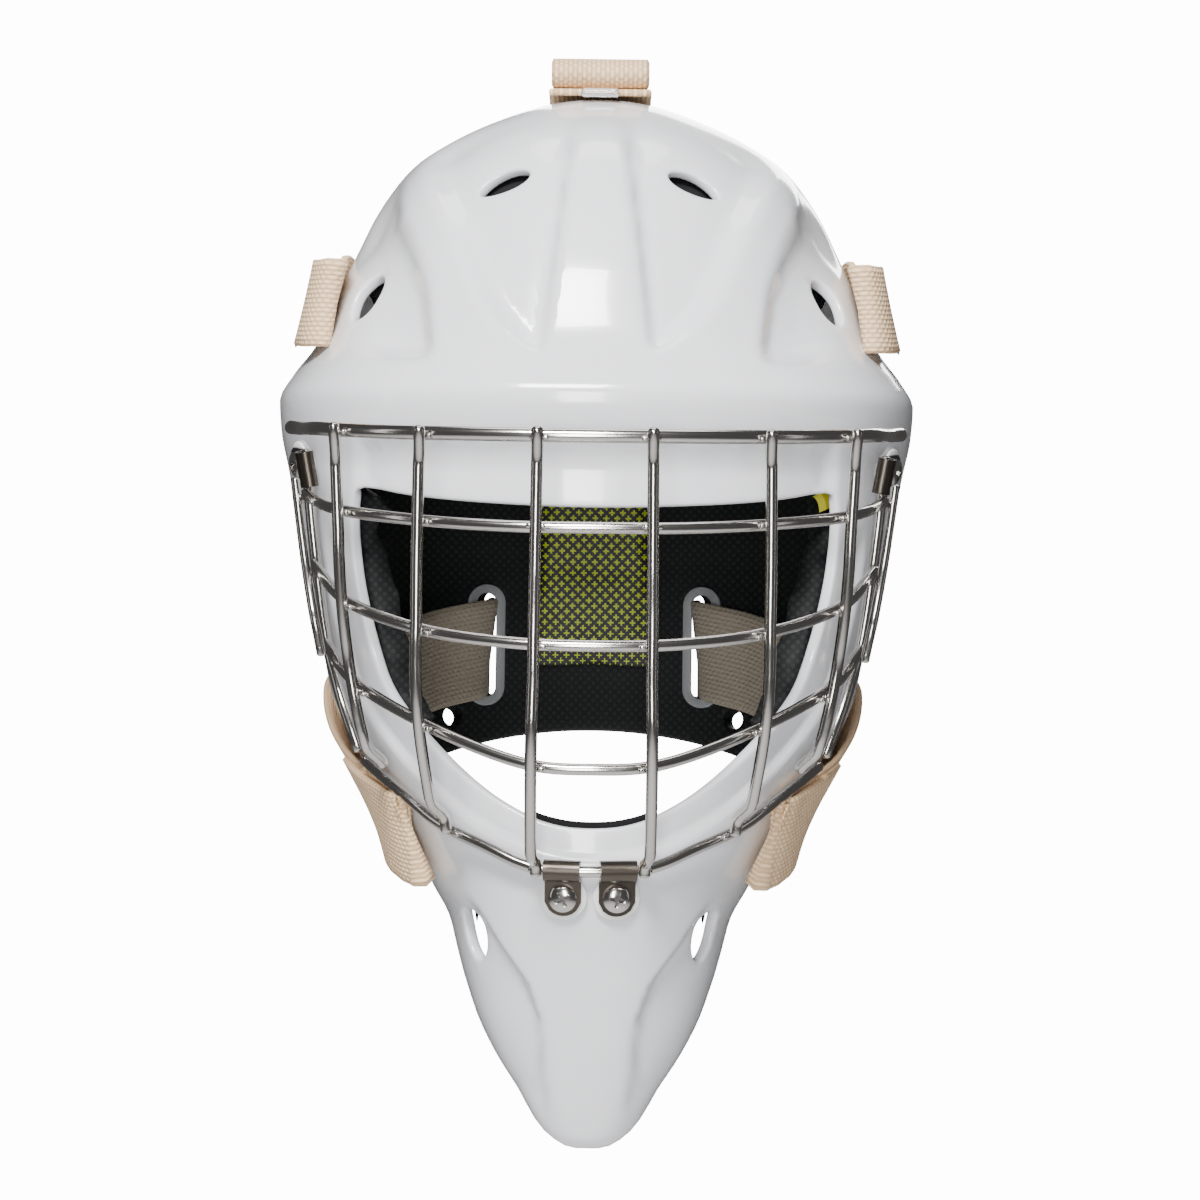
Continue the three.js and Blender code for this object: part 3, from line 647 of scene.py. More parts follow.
def elastic_material(name, shade_painted_to=0):
    """Knitted elastic: staggered rows of rounded stitches, measured along and across the band. A band may
    start with a stretch painted darker taupe: painted shade for where it lies inside the mask."""
    made = material(name, (0.72, 0.56, 0.38), 0.95, sheen=0.05)
    band_place = place_on(made, "UV")
    row = math_node(made, "DIVIDE", band_place["Y"], STITCH_ROW)
    offset = math_node(made, "MULTIPLY", math_node(made, "FLOOR", row), 0.5)
    column = math_node(made, "ADD", math_node(made, "DIVIDE", band_place["X"], STITCH_LENGTH), offset)
    humps = []
    for place in (row, column):
        wave = math_node(made, "SINE", math_node(made, "MULTIPLY", place, math.pi))
        humps.append(math_node(made, "ABSOLUTE", wave))
    beads = math_node(made, "ADD", math_node(made, "MULTIPLY", humps[1], 0.85), 0.15)
    stitch = math_node(made, "MULTIPLY", humps[0], beads)
    fuzz = math_node(made, "MULTIPLY", noise(made, 700, 4.0), 0.6)
    add_bump(made, math_node(made, "ADD", stitch, fuzz), 0.7, 0.0006)
    uneven = math_node(made, "MULTIPLY", noise(made, 70), 0.3)
    # Stitch crests are painted lighter and the grooves between them darker: painted shade in the grooves,
    # plus real random tone from the noise.
    stitch_shade_and_tone = math_node(made, "ADD", math_node(made, "MULTIPLY", stitch, 0.75), uneven)
    color = mixed(made, stitch_shade_and_tone, CLOTH_DARK, CLOTH_LIGHT)
    if shade_painted_to:
        # Painted shade: the stretch nearest the slot takes the darker taupe instead of the cream knit.
        unshaded = math_node(made, "GREATER_THAN", band_place["X"], shade_painted_to)
        color = mixed(made, unshaded, STRAP_SHADE_PAINT, color)
    link(made, color, shader_input(made, "Base Color"))
    return made


def lattice(made, place, cell, shift):
    """How far a point is, across and up, from the nearest point of a square lattice, in cells."""
    away = []
    for axis in ("X", "Z"):
        share = math_node(made, "ADD", math_node(made, "DIVIDE", place[axis], cell * MM), shift)
        from_point = math_node(made, "SUBTRACT", math_node(made, "FRACT", share), 0.5)
        away.append(math_node(made, "ABSOLUTE", from_point))
    return away


def plus_pattern_material():
    """Black foam printed with staggered rows of lime plus signs, whose arms get thinner near the bottom."""
    made = material("foam_lime_pattern", (0.012, 0.012, 0.014), 0.6)
    place = place_on(made, "Object")
    height = place["Z"]
    arm = math_node(made, "ADD", math_node(made, "MULTIPLY", height, 1.7), 0.115)
    arm = math_node(made, "MINIMUM", math_node(made, "MAXIMUM", arm, 0.05), 0.085)
    signs = []
    for shift in (0.0, 0.5):
        side, rise = lattice(made, place, SIGN_CELL, shift)
        long_way = math_node(made, "LESS_THAN", math_node(made, "MAXIMUM", side, rise), SIGN_REACH)
        short_way = math_node(made, "LESS_THAN", math_node(made, "MINIMUM", side, rise), arm)
        signs.append(math_node(made, "MULTIPLY", long_way, short_way))
    printed = math_node(made, "GREATER_THAN", height, PRINT_BOTTOM)
    shown = math_node(made, "MULTIPLY", math_node(made, "MAXIMUM", *signs), printed)
    link(made, mixed(made, shown, (0.014, 0.014, 0.016), LIME_INK), shader_input(made, "Base Color"))
    add_bump(made, noise(made, 900, 4.0), 0.2, 0.0003)
    return made


def dotted_foam_material():
    """Black foam pressed with a staggered pattern of small dots."""
    made = material("foam_dotted", (0.006, 0.006, 0.007), 0.7, specular=0.25)
    place = place_on(made, "Object")
    dots = []
    for shift in (0.0, 0.5):
        squares = [math_node(made, "POWER", way, 2.0) for way in lattice(made, place, DOT_CELL, shift)]
        dots.append(math_node(made, "LESS_THAN", math_node(made, "ADD", *squares), 0.055))
    dot = math_node(made, "MAXIMUM", *dots)
    color = mixed(made, dot, (0.006, 0.006, 0.007), (0.012, 0.016, 0.014))
    link(made, color, shader_input(made, "Base Color"))
    add_bump(made, dot, 0.15, 0.0002)
    return made


def clear_material():
    made = material("clear_plastic", (0.9, 0.93, 0.95), 0.12)
    shader_input(made, "Transmission Weight").default_value = 0.8
    return made


SHELL = material("shell_white", (0.74, 0.75, 0.78), 0.17, coat=0.5)
STEEL = steel_material("steel_bright", (0.5, 0.48, 0.455), 0.17)
DARK_STEEL = steel_material("steel_dark", (0.1, 0.086, 0.072), 0.3)
FOAM = foam_material()
LIME = material("foam_lime", (0.55, 0.5, 0.02), 0.7)
PATTERN = plus_pattern_material()
DOTTED = dotted_foam_material()
PLATE = material("plate_black", (0.016, 0.016, 0.018), 0.42)
TRIM = material("trim_grey", (0.24, 0.25, 0.26), 0.5)
ELASTIC = elastic_material("elastic_cream")
SHADE_PAINTED_ELASTIC = elastic_material("elastic_painted_shade", SHADE_PAINTED_LENGTH)
CLEAR = clear_material()
WASHER = material("washer_white", (0.8, 0.8, 0.78), 0.5)

# ---- shell ------------------------------------------------------------------------------------------

# Oval vents on the wearer's left: x, z, level length, height and tilt; the right side mirrors them.
VENTS = [(35, 139, 22, 11.5, 0.5), (84, 95, 16, 23, 0), (41.5, -135, 17, 22, 0)]
SHELL_COLUMNS = 300
SHELL_ROWS = 84
SHELL_RIM = 1.1


def to_domain(turn, fan):
    return np.stack([fan * np.sin(turn), fan * np.cos(turn)], axis=-1)


def from_domain(flat):
    return np.arctan2(flat[:, 0], flat[:, 1]), np.hypot(flat[:, 0], flat[:, 1])


def vent_loop(side, x, z, length, height, tilt, grow=1.0):
    """A vent's outline in the shell's flat domain. The vent is an oval square to the shell."""
    spot = np.array([[side * x, z]] * 2, float)
    centre, above = lifted(front_y, spot, [0, 1])
    out = above - centre
    level = unit([-out[1], out[0], 0])
    rise = np.cross(out, level)
    rise *= np.sign(rise[2])
    angles = np.linspace(0, 2 * math.pi, 64, endpoint=False)
    along, up = np.cos(angles) * length / 2, np.sin(angles) * height / 2
    lean = -side * tilt
    turned_along = along * math.cos(lean) - up * math.sin(lean)
    turned_up = along * math.sin(lean) + up * math.cos(lean)
    ring = centre + grow * (np.outer(turned_along, level) + np.outer(turned_up, rise))
    ways = unit(ring - HEART)
    return to_domain(np.arctan2(ways[:, 0], ways[:, 2]), np.arccos(-ways[:, 1]))


def place_shell(flat):
    turn, fan = from_domain(flat)
    step = 0.004
    outer = surface(turn, fan)
    a = surface(*from_domain(flat + [step, 0])) - surface(*from_domain(flat - [step, 0]))
    b = surface(*from_domain(flat + [0, step])) - surface(*from_domain(flat - [0, step]))
    normals = unit(np.cross(a, b))
    outward = np.einsum("ij,ij->i", normals, outer - HEART)
    normals[outward < 0] *= -1
    return outer, normals


def make_shell():
    turns = np.linspace(-math.pi, math.pi, SHELL_COLUMNS, endpoint=False)
    opening, rear = fan_range(turns)
    shares = np.linspace(0, 1, SHELL_ROWS + 2)[1:-1]
    grid = np.vstack([to_domain(turns, opening + (rear - opening) * share) for share in shares])
    vents = [(side, *vent) for side in (-1, 1) for vent in VENTS]
    for vent in vents:
        grid = grid[~within(grid, vent_loop(*vent, grow=1.12))]
    loops = [to_domain(turns, rear), to_domain(turns, opening)] + [vent_loop(*vent) for vent in vents]
    shell = skin("shell_moulding", loops, grid, place_shell, SHELL_WALL, SHELL_RIM, SHELL, "shell")
    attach(shell, BODY)
    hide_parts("shell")


# ---- cage -------------------------------------------------------------------------------------------

# The line of the cage's lower rim seen from the front, right half: x and z.
RIM_LINE = np.array(
    [
        [0, -107.8], [15, -107.4], [23, -105], [33, -100], [49, -92], [59, -84.5], [76, -71], [88, -47],
        [94, -29], [99, 7], [104, 40],
    ]
)  # fmt: skip
RIM_LIFT = 5
BAR_STAND_OFF = 9.9
BOW_STAND_OFF = 36
SIDE_WIRE_LIFT = 4.8
WELD_RADIUS = 0.95
LEVEL_BARS = {
    "cage_bar_upper": [[0, 9.5], [30, 9.8], [60, 11.6], [89, 15.5], [98, 18.6], [103, 21.4]],
    "cage_bar_middle": [[0, -30.3], [30, -29.4], [60, -25.2], [87, -15.5], [95.5, -7.8], [100, -3.5]],
    "cage_bar_lower": [[0, -72], [22, -70.5], [57, -58], [85, -43], [92, -35.2], [95, -31.4]],
}
UPRIGHT_BARS = [
    [[19, 44], [19.2, -28], [19, -70], [18.7, -109]],
    [[57.6, 44], [57.4, -15], [55.8, -55], [50, -95]],
    [[86.5, 45], [83, -14], [79.5, -42], [73, -73]],
]
TOP_BAR_LINE = [[0, 40.5], [40, 40.8], [75, 41.8], [98, 43.6], [108, 45]]
SIDE_RIM = [[78.5, -67], [86, -47], [91, -29], [96, 7], [99, 38]]
SIDE_WIRE = [[101.5, 27], [98, 0], [91.5, -34]]


def rim_height(x):
    return np.interp(np.abs(x), RIM_LINE[:, 0], RIM_LINE[:, 1])


def cage_y(x, z):
    width, middle, front, _ = section_at(z)
    bow = BOW_STAND_OFF * np.sin(math.pi / 2 * np.clip((z - rim_height(x)) / 62, 0, 1))
    share = np.maximum(0.004, 1 - (np.abs(x) / (width + BAR_STAND_OFF)) ** SECTION_POWER)
    return middle - (front + BAR_STAND_OFF + bow) * share ** (1 / SECTION_POWER)


def lifted(depth_of, line, lift):
    """Points over a line seen from the front, on a surface that gives y, and lifted off it."""
    x, z = line[:, 0], line[:, 1]
    step = 0.5
    slope_x = (depth_of(x + step, z) - depth_of(x - step, z)) / (2 * step)
    slope_z = (depth_of(x, z + step) - depth_of(x, z - step)) / (2 * step)
    out = unit(np.stack([slope_x, -np.ones_like(x), slope_z], axis=1))
    return np.stack([x, depth_of(x, z), z], axis=1) + out * np.reshape(lift, (-1, 1))


def mirrored(half):
    half = np.asarray(half, float)
    return np.vstack([half[1:][::-1] * [-1, 1], half])


def cage_lines():
    """The centre line and radius of every bar of the cage."""
    lift = 2 * BAR_RADIUS + WELD_GAP
    lines = {"cage_top_bar": (lifted(cage_y, catmull(mirrored(TOP_BAR_LINE), 90), 0), TOP_BAR_RADIUS)}
    for name, half in LEVEL_BARS.items():
        lines[name] = (lifted(cage_y, catmull(mirrored(half), 90), 0), BAR_RADIUS)
    rim = catmull(mirrored(RIM_LINE[:7]), 90)
    lines["cage_rim_lower"] = (lifted(front_y, rim, RIM_LIFT), BAR_RADIUS)
    for side, label in ((-1, "right"), (1, "left")):
        for i, line in enumerate(UPRIGHT_BARS):
            flat = catmull(np.array(line) * [side, 1], 60)
            rise = (lift + TOP_BAR_RADIUS - BAR_RADIUS) * smooth((flat[:, 1] - rim_height(flat[:, 0])) / 8)
            lines[f"cage_upright_{label}_{i + 1}"] = (lifted(cage_y, flat, rise), BAR_RADIUS)
        flat = catmull(np.array(SIDE_RIM) * [side, 1], 40)
        lines[f"cage_rim_{label}"] = (lifted(front_y, flat, RIM_LIFT), BAR_RADIUS)
        flat = catmull(np.array(SIDE_WIRE) * [side, 1], 30)
        lines[f"cage_side_wire_{label}"] = (lifted(cage_y, flat, SIDE_WIRE_LIFT), SIDE_WIRE_RADIUS)
    return lines


def weld(at, along, radius):
    """A small bead of weld metal, longer along the bar that it runs down."""
    return tube([at - along * radius * 0.9, at, at + along * radius * 0.9], radius, 10)


def make_cage():
    lines = cage_lines()
    for name, (points, radius) in lines.items():
        bar = new_piece(f"{name}_wire", *tube(points, radius), STEEL, "steel")
        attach(bar, BODY)
        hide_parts(name)
    uprights = [points for name, (points, _) in lines.items() if "upright" in name]
    levels = [line for name, line in lines.items() if "upright" not in name and "side" not in name]
    beads = []
    for upright in uprights:
        for level, radius in levels:
            gaps = np.linalg.norm(upright[:, None] - level[None], axis=2)
            i, j = np.unravel_index(np.argmin(gaps), gaps.shape)
            if gaps[i, j] > radius + BAR_RADIUS + 1.5:
                continue
            along = unit(level[min(j + 1, len(level) - 1)] - level[max(j - 1, 0)])
            between = (upright[i] * radius + level[j] * BAR_RADIUS) / (radius + BAR_RADIUS)
            for way in (-1, 1):
                beads.append(weld(between + along * way * 2 * WELD_RADIUS, along, WELD_RADIUS))
    welds = new_piece("cage_welds", *joined(beads), STEEL, "steel")
    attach(welds, BODY)


# ---- clips ------------------------------------------------------------------------------------------

CLIP_WIDTH = 12.7
CLIP_SHEET = 1.0
CLIP_GAP = 0.7  # between the wire and the clip
CLIP_BASE = 1.8  # height of the sheet's underside over the shell
CLIP_CURL = np.radians([-90, 118])  # of the sheet round the wire
CLIP_END = -4.4
TAB_START = -0.2
TAB_LENGTH = 6.2
# Turned outlines of the pad under a clip and of a screw: radius and height over the shell.
CLIP_PAD_PROFILE = [(0, 1.7), (7.6, 1.7), (8.2, 1.3), (8.2, 0.7), (7.6, 0.4), (0, 0.4)]
SCREW_PROFILE = [
    (0, 5.2), (1.5, 5.15), (3, 4.9), (4.3, 4.3), (4.9, 3.7), (4.9, 3.1), (4.6, 2.9), (2, 2.9), (2, -7.5),
    (0, -7.5),
]  # fmt: skip
CROSS_HEIGHT = 5.2
CROSS_SIZES = ((5.6, 1.3, 3.2), (1.3, 5.6, 3.2))
CROSS_TURNS = {"right": math.radians(28), "left": math.radians(-12)}
# Clips: x and z of the screw, and of the point of the wire that the clip holds.
CLIPS = {
    "chin_right": (-9, -117.2, -9, -107.6),
    "chin_left": (9, -117.2, 9, -107.6),
    "temple_right": (-104.6, 33, -98.3, 32),
    "temple_left": (104.6, 33, 98.3, 32),
}


def screw_frame(x, z, wire_x, wire_z):
    """A matrix for a clip: its foot on the shell, up towards the wire and out of the shell."""
    foot, above = lifted(front_y, np.array([[x, z], [x, z]], float), [0, 1])
    out = above - foot
    wire = lifted(front_y, np.array([[wire_x, wire_z]], float), [0])[0] - foot
    up = unit(wire - out * np.dot(wire, out))
    side = np.cross(up, out)
    matrix = np.eye(4)
    matrix[:3, 0], matrix[:3, 1], matrix[:3, 2], matrix[:3, 3] = side, up, out, foot
    return matrix


def clip_outline(height, distance):
    """The side outline, as a closed loop of heights off the shell and distances from the screw, of a clip
    that holds a wire at a height and distance."""
    inner = BAR_RADIUS + CLIP_GAP
    outer = inner + CLIP_SHEET
    arc = np.linspace(*CLIP_CURL, 26)
    outside = [(height + outer * math.cos(a), distance + outer * math.sin(a)) for a in arc]
    inside = [(height + inner * math.cos(a), distance + inner * math.sin(a)) for a in arc[::-1]]
    bend = distance - outer - 0.6
    start = [(CLIP_BASE + CLIP_SHEET, CLIP_END), (CLIP_BASE + CLIP_SHEET, bend)]
    end = [(CLIP_BASE, bend + 0.5), (CLIP_BASE, CLIP_END)]
    return start + outside + inside + end


def clip_mesh(outline):
    """The outline drawn out across the clip's width, narrowing to a rounded tab below the screw."""
    loop = np.array(outline)
    stations = np.linspace(-1, 1, 9)
    rings = []
    for s in stations:
        ring = np.stack([np.full(len(loop), s * CLIP_WIDTH / 2), loop[:, 1], loop[:, 0]], axis=1)
        ring[ring[:, 1] == CLIP_END, 1] = TAB_START - TAB_LENGTH * math.sqrt(1 - (s * 0.98) ** 2)
        rings.append(ring)
    return np.vstack(rings), flipped(ring_faces(len(stations), len(loop)))


def make_screw(name, matrix):
    """A round head with a cross cut into it, and its shank."""
    points, faces = lathe(SCREW_PROFILE)
    screw = new_piece(f"{name}_screw", moved(points, matrix), faces, STEEL, "steel")
    spin = np.eye(4)
    angle = CROSS_TURNS[name.split("_")[1]]
    spin[:2, :2] = [[math.cos(angle), -math.sin(angle)], [math.sin(angle), math.cos(angle)]]
    cut_away(screw, [block(size, (0, 0, CROSS_HEIGHT), matrix @ spin) for size in CROSS_SIZES])
    return screw


def make_clips():
    for name, spot in CLIPS.items():
        matrix = screw_frame(*spot)
        wire = lifted(front_y, np.array([spot[2:]], float), [RIM_LIFT])[0]
        local = np.linalg.inv(matrix) @ np.append(wire, 1)
        points, faces = clip_mesh(clip_outline(local[2], local[1]))
        sheet = new_piece(f"{name}_clip", moved(points, matrix), faces, DARK_STEEL, "dark_steel")
        points, faces = lathe(CLIP_PAD_PROFILE)
        pad = new_piece(f"{name}_pad", moved(points, matrix), faces, WASHER, "washer")
        screw = make_screw(name, matrix)
        for piece, cad_name in ((sheet, "clip"), (pad, "clip_pad"), (screw, "screw")):
            crisp(piece)
            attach(piece, BODY)
            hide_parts(f"{cad_name}_{name}")


# ---- pads inside the shell --------------------------------------------------------------------------

PAD_START = SHELL_WALL + 3
# Pads: name, first and last turn in degrees from the top, shares of the way from the face opening to the
# rear edge, and the depths of the face on the shell and the face on the head.
PADS = [
    ("forehead_pad", -36, 36, 0.04, 0.42, PAD_START, 19),
    ("crown_pad", -36, 36, 0.46, 0.96, PAD_START, 17),
    ("temple_pad_right", -57, -39, 0.05, 0.95, PAD_START, 18),
    ("temple_pad_left", 39, 57, 0.05, 0.95, PAD_START, 18),
    ("impact_foam_left", 61, 65, 0.03, 0.3, PAD_START + 1, 13.5),
    ("cheek_pad_right", -126, -60, 0.03, 0.94, PAD_START, 21),
    ("cheek_pad_left", 67, 126, 0.03, 0.94, PAD_START, 21),
    ("jaw_pad_right", -160, -129, 0.04, 0.9, PAD_START, 15),
    ("jaw_pad_left", 129, 160, 0.04, 0.9, PAD_START, 15),
    ("chin_pad", 163, 197, 0.03, 0.32, 9, 15),
    ("sweatband", -35, 35, 0.06, 0.3, 21.4, 24),
]
PAD_LOOKS = {"impact": (LIME, "lime_foam"), "cheek": (DOTTED, "foam")}
TAPERED_PADS = ("jaw", "chin")
TAPER_SHARE = 0.3
FLAT_PADS = ("sweatband", "chin_pad", "impact_foam_left")  # too small or too thin to swell
PAD_GRID = 14
PUFF_ROOM = 1.0  # left on each face for a pad to swell
PAD_SWELL = 2.2
PUFF_VOXEL = 4.5
PUFF_PRESSURE = 4.0
PUFF_FRAMES = 20


def puff(piece, cap):
    """Swells a closed piece as foam or stuffing does, by a short cloth simulation, no further than a cap."""
    remesh = piece.modifiers.new("remesh", "REMESH")
    remesh.mode = "VOXEL"
    remesh.voxel_size = PUFF_VOXEL * MM
    apply_modifiers(piece)
    start = np.array([v.co for v in piece.data.vertices])
    cloth = piece.modifiers.new("cloth", "CLOTH")
    cloth.settings.use_pressure = True
    cloth.settings.uniform_pressure_force = PUFF_PRESSURE
    cloth.settings.effector_weights.gravity = 0
    scene = bpy.context.scene
    scene.frame_start, scene.frame_end = 1, PUFF_FRAMES
    cloth.point_cache.frame_start, cloth.point_cache.frame_end = 1, PUFF_FRAMES
    for step in range(1, PUFF_FRAMES + 1):
        scene.frame_set(step)
    apply_modifiers(piece)
    scene.frame_set(1)
    shift = np.array([v.co for v in piece.data.vertices]) - start
    size = np.linalg.norm(shift, axis=1, keepdims=True)
    shift *= np.minimum(1, cap * MM / np.maximum(size, 1e-9))
    piece.data.vertices.foreach_set("co", (start + shift).ravel())
    piece.data.update()


def soften(piece):
    change = piece.modifiers.new("subdivide", "SUBSURF")
    change.levels = change.render_levels = 1
    apply_modifiers(piece)
    piece.data.polygons.foreach_set("use_smooth", [True] * len(piece.data.polygons))


def pad_face(turns, opening, rear, shares, depth, taper=0.0):
    """A grid of points at a depth under the shell's outer face, less deep near the opening by a taper."""
    rows = []
    for share in np.linspace(*shares, PAD_GRID):
        thin = taper * (1 - smooth((share - shares[0]) / TAPER_SHARE))
        rows.append(surface(turns, opening + (rear - opening) * share, depth - thin))
    return np.array(rows)


def make_pads():
    shrink = PUFF_ROOM
    for name, first, last, near, far, outside, inside in PADS:
        look, slot = PAD_LOOKS.get(name.split("_")[0], (FOAM, "foam"))
        turns = np.radians(np.linspace(first, last, PAD_GRID))
        edges = fan_range(turns)
        taper = 0.0
        if name.startswith(TAPERED_PADS):
            taper = 0.65 * (inside - outside - 2 * shrink)
        points, faces = solid_grid(
            pad_face(turns, *edges, (near, far), outside + shrink),
            pad_face(turns, *edges, (near, far), inside - shrink, taper),
        )
        pad = new_piece(f"{name}_foam", points, faces, look, slot)
        if name in FLAT_PADS:
            crisp(pad)
        else:
            puff(pad, PAD_SWELL)
            soften(pad)
        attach(pad, BODY)
        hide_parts(name)


# ---- backplate --------------------------------------------------------------------------------------

PLATE_CENTRE_Y = 50
PLATE_WALL = 3.4
PLATE_FOAM = (4, 12)  # depths of its faces inside the plate
PLATE_RIM = 0.9
CENTRE_PAD = (14, 23)
CENTRE_PAD_TURN = 0.33  # to each side, in radians
CENTRE_PAD_Z = (-41, 96)
CENTRE_PAD_SWELL = 5
PLATE_REACH = math.radians(76)
PLATE_BOTTOM, PLATE_TOP = -66, 124
PLATE_ARCH = 20  # by how much the bottom is lower at the sides
PLATE_CROWN = 40  # by how much the top is lower at the sides
PLATE_GRID = 3.0
# The plate's level sections: height, and half width or reach to the rear.
PLATE_WIDTHS = np.array([[-90, 88], [-50, 97], [0, 98], [60, 91], [100, 76], [128, 58]], float)
PLATE_DEPTHS = np.array([[-90, 74], [-50, 80], [0, 85], [60, 80], [100, 62], [128, 46]], float)
SLOT_X, SLOT_Z, SLOT_LENGTH, SLOT_WIDTH = 42.5, -33, 42, 9
TRIM_WIDTH, TRIM_WALL, TRIM_RIM = 2.4, 1.4, 0.4
LOWER_HOLE_X, LOWER_HOLE_Z, LOWER_HOLE_RADIUS = 59, -62, 4.5
DOMAIN_RADIUS = 90  # millimetres of the plate's flat domain for each radian of turn


def plate_point(turn, z, depth):
    width = np.interp(z, PLATE_WIDTHS[:, 0], PLATE_WIDTHS[:, 1]) - depth
    reach = np.interp(z, PLATE_DEPTHS[:, 0], PLATE_DEPTHS[:, 1]) - depth
    return np.stack([width * np.sin(turn), PLATE_CENTRE_Y + reach * np.cos(turn), z + 0 * turn], axis=-1)


def place_plate(depth):
    """A function that places points of the plate's flat domain at a depth, with their normals."""

    def place(flat):
        turn, z = flat[:, 0] / DOMAIN_RADIUS, flat[:, 1]
        outer = plate_point(turn, z, depth)
        turn_step, rise = 0.02, 4.0
        a = plate_point(turn + turn_step, z, depth) - plate_point(turn - turn_step, z, depth)
        b = plate_point(turn, z + rise, depth) - plate_point(turn, z - rise, depth)
        normals = unit(np.cross(a, b))
        outward = np.einsum("ij,ij->i", normals, outer - [0, PLATE_CENTRE_Y, 0])
        normals[outward < 0] *= -1
        return outer, normals

    return place


def plate_edge():
    """The plate's outline in its flat domain, arched at the bottom and rounded at the top."""
    turns = np.linspace(-PLATE_REACH, PLATE_REACH, 60)
    sides = np.sin(turns) ** 2
    bottom = np.stack([turns * DOMAIN_RADIUS, PLATE_BOTTOM - PLATE_ARCH * sides], axis=1)
    top = np.stack([turns * DOMAIN_RADIUS, PLATE_TOP - PLATE_CROWN * sides], axis=1)[::-1]
    return rounded(np.vstack([bottom, top]), 2)


def stadium_loop(length, width, x, z, depth, count=28):
    """A slot's outline in the plate's flat domain; the slot is cut straight from front to back."""
    angles = np.linspace(0, math.pi, count)
    run = (length - width) / 2
    top = np.stack([width / 2 * np.cos(angles), run + width / 2 * np.sin(angles)], axis=1)
    loop = np.vstack([top, -top]) + [x, z]
    across = np.interp(loop[:, 1], PLATE_WIDTHS[:, 0], PLATE_WIDTHS[:, 1]) - depth
    return np.stack([np.arcsin(loop[:, 0] / across) * DOMAIN_RADIUS, loop[:, 1]], axis=1)


def plate_skin(name, depth, wall, material_used, slot_name):
    edge = plate_edge()
    holes = []
    for side in (-1, 1):
        holes.append(stadium_loop(SLOT_LENGTH, SLOT_WIDTH, side * SLOT_X, SLOT_Z, depth))
        size = 2 * LOWER_HOLE_RADIUS
        holes.append(stadium_loop(size + 0.02, size, side * LOWER_HOLE_X, LOWER_HOLE_Z, depth, 14))
    xs = np.arange(edge[:, 0].min(), edge[:, 0].max(), PLATE_GRID)
    zs = np.arange(edge[:, 1].min(), edge[:, 1].max(), PLATE_GRID)
    grid = np.array([(x, z) for x in xs for z in zs])
    inside = within(grid, edge * 0.985)
    for hole in holes:
        middle = hole.mean(axis=0)
        inside &= ~within(grid, middle + (hole - middle) * 1.12)
    loops = [edge, *holes]
    return skin(name, loops, grid[inside], place_plate(depth), wall, PLATE_RIM, material_used, slot_name)


def make_plate():
    plate = plate_skin("backplate_moulding", 0, PLATE_WALL, PLATE, "plate")
    foam = plate_skin("backplate_lining", PLATE_FOAM[0], PLATE_FOAM[1] - PLATE_FOAM[0], DOTTED, "foam")
    for piece, name in ((plate, "backplate"), (foam, "backplate_foam")):
        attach(piece, BACK)
        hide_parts(name)


def make_slot_trims():
    depth = PLATE_FOAM[1] + 0.4
    for side, label in ((-1, "right"), (1, "left")):
        place = (side * SLOT_X, SLOT_Z, depth)
        outer = stadium_loop(SLOT_LENGTH + 2 * TRIM_WIDTH, SLOT_WIDTH + 2 * TRIM_WIDTH, *place)
        inner = stadium_loop(SLOT_LENGTH - 0.6, SLOT_WIDTH - 0.6, *place)
        trim = skin(
            f"slot_{label}_trim", [outer, inner], [], place_plate(depth), TRIM_WALL, TRIM_RIM, TRIM, "trim"
        )
        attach(trim, BACK)
        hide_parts(f"slot_trim_{label}")


def make_centre_pad():
    turns = np.linspace(-CENTRE_PAD_TURN, CENTRE_PAD_TURN, 12)
    rows = np.linspace(*CENTRE_PAD_Z, 24)
    outer, inner = (np.array([plate_point(turns, z, depth) for z in rows]) for depth in CENTRE_PAD)
    pad = new_piece("centre_pad", *solid_grid(outer, inner), PATTERN, "lime_foam")
    puff(pad, CENTRE_PAD_SWELL)
    soften(pad)
    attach(pad, BACK)
    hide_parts("backplate_centre_pad")


# ---- straps -----------------------------------------------------------------------------------------

TOP_FOLD_WIDTH = 36
UPPER_WIDTH = 32
LOWER_FOLD_WIDTH = 34

# Lines over the head: y and z.
TOP_STRAP = [(-14, 171.6), (5, 172.6), (24, 171.2), (48, 163), (70, 153), (90, 141), (104, 127), (114, 108)]
TOP_FOLD = [(20, 177), (14, 182.6), (4, 183.6), (-8, 183), (-13.5, 179), (-10.5, 175.2), (0, 175.6)]
TOP_KEEPER = [(-22, 170.5), (-17, 171.5)]

# Lines beside the shell: y, z and lift off the shell.
UPPER_FOLD = [
    (-14, 92.5, 6.6), (-26, 92, 9.6), (-37, 91.5, 12), (-46, 91, 12.2), (-51, 91, 9.4), (-50.5, 91, 6.2),
    (-44, 91.5, 4.4), (-30, 92.5, 4.1),
]  # fmt: skip
UPPER_ON_SHELL = [(-16, 93.5, 4), (10, 97.5, 5), (34, 98, 6), (50, 94, 5.5), (61, 88, 4)]
UPPER_KEEPER = [(-27, 92, 11.2), (-21, 92, 9.6)]
LOWER_ON_SHELL = [
    (46, -53, 4.8), (20, -63, 5), (-6, -73, 5), (-34, -83, 4.8), (-60, -91, 4.4), (-82, -97, 4),
]  # fmt: skip
LOWER_FOLD = [
    (-84, -98, 4.6), (-90, -100, 6.8), (-85, -99, 9.4), (-72, -95, 9.4), (-58, -90, 8), (-46, -86.5, 6.9),
]  # fmt: skip

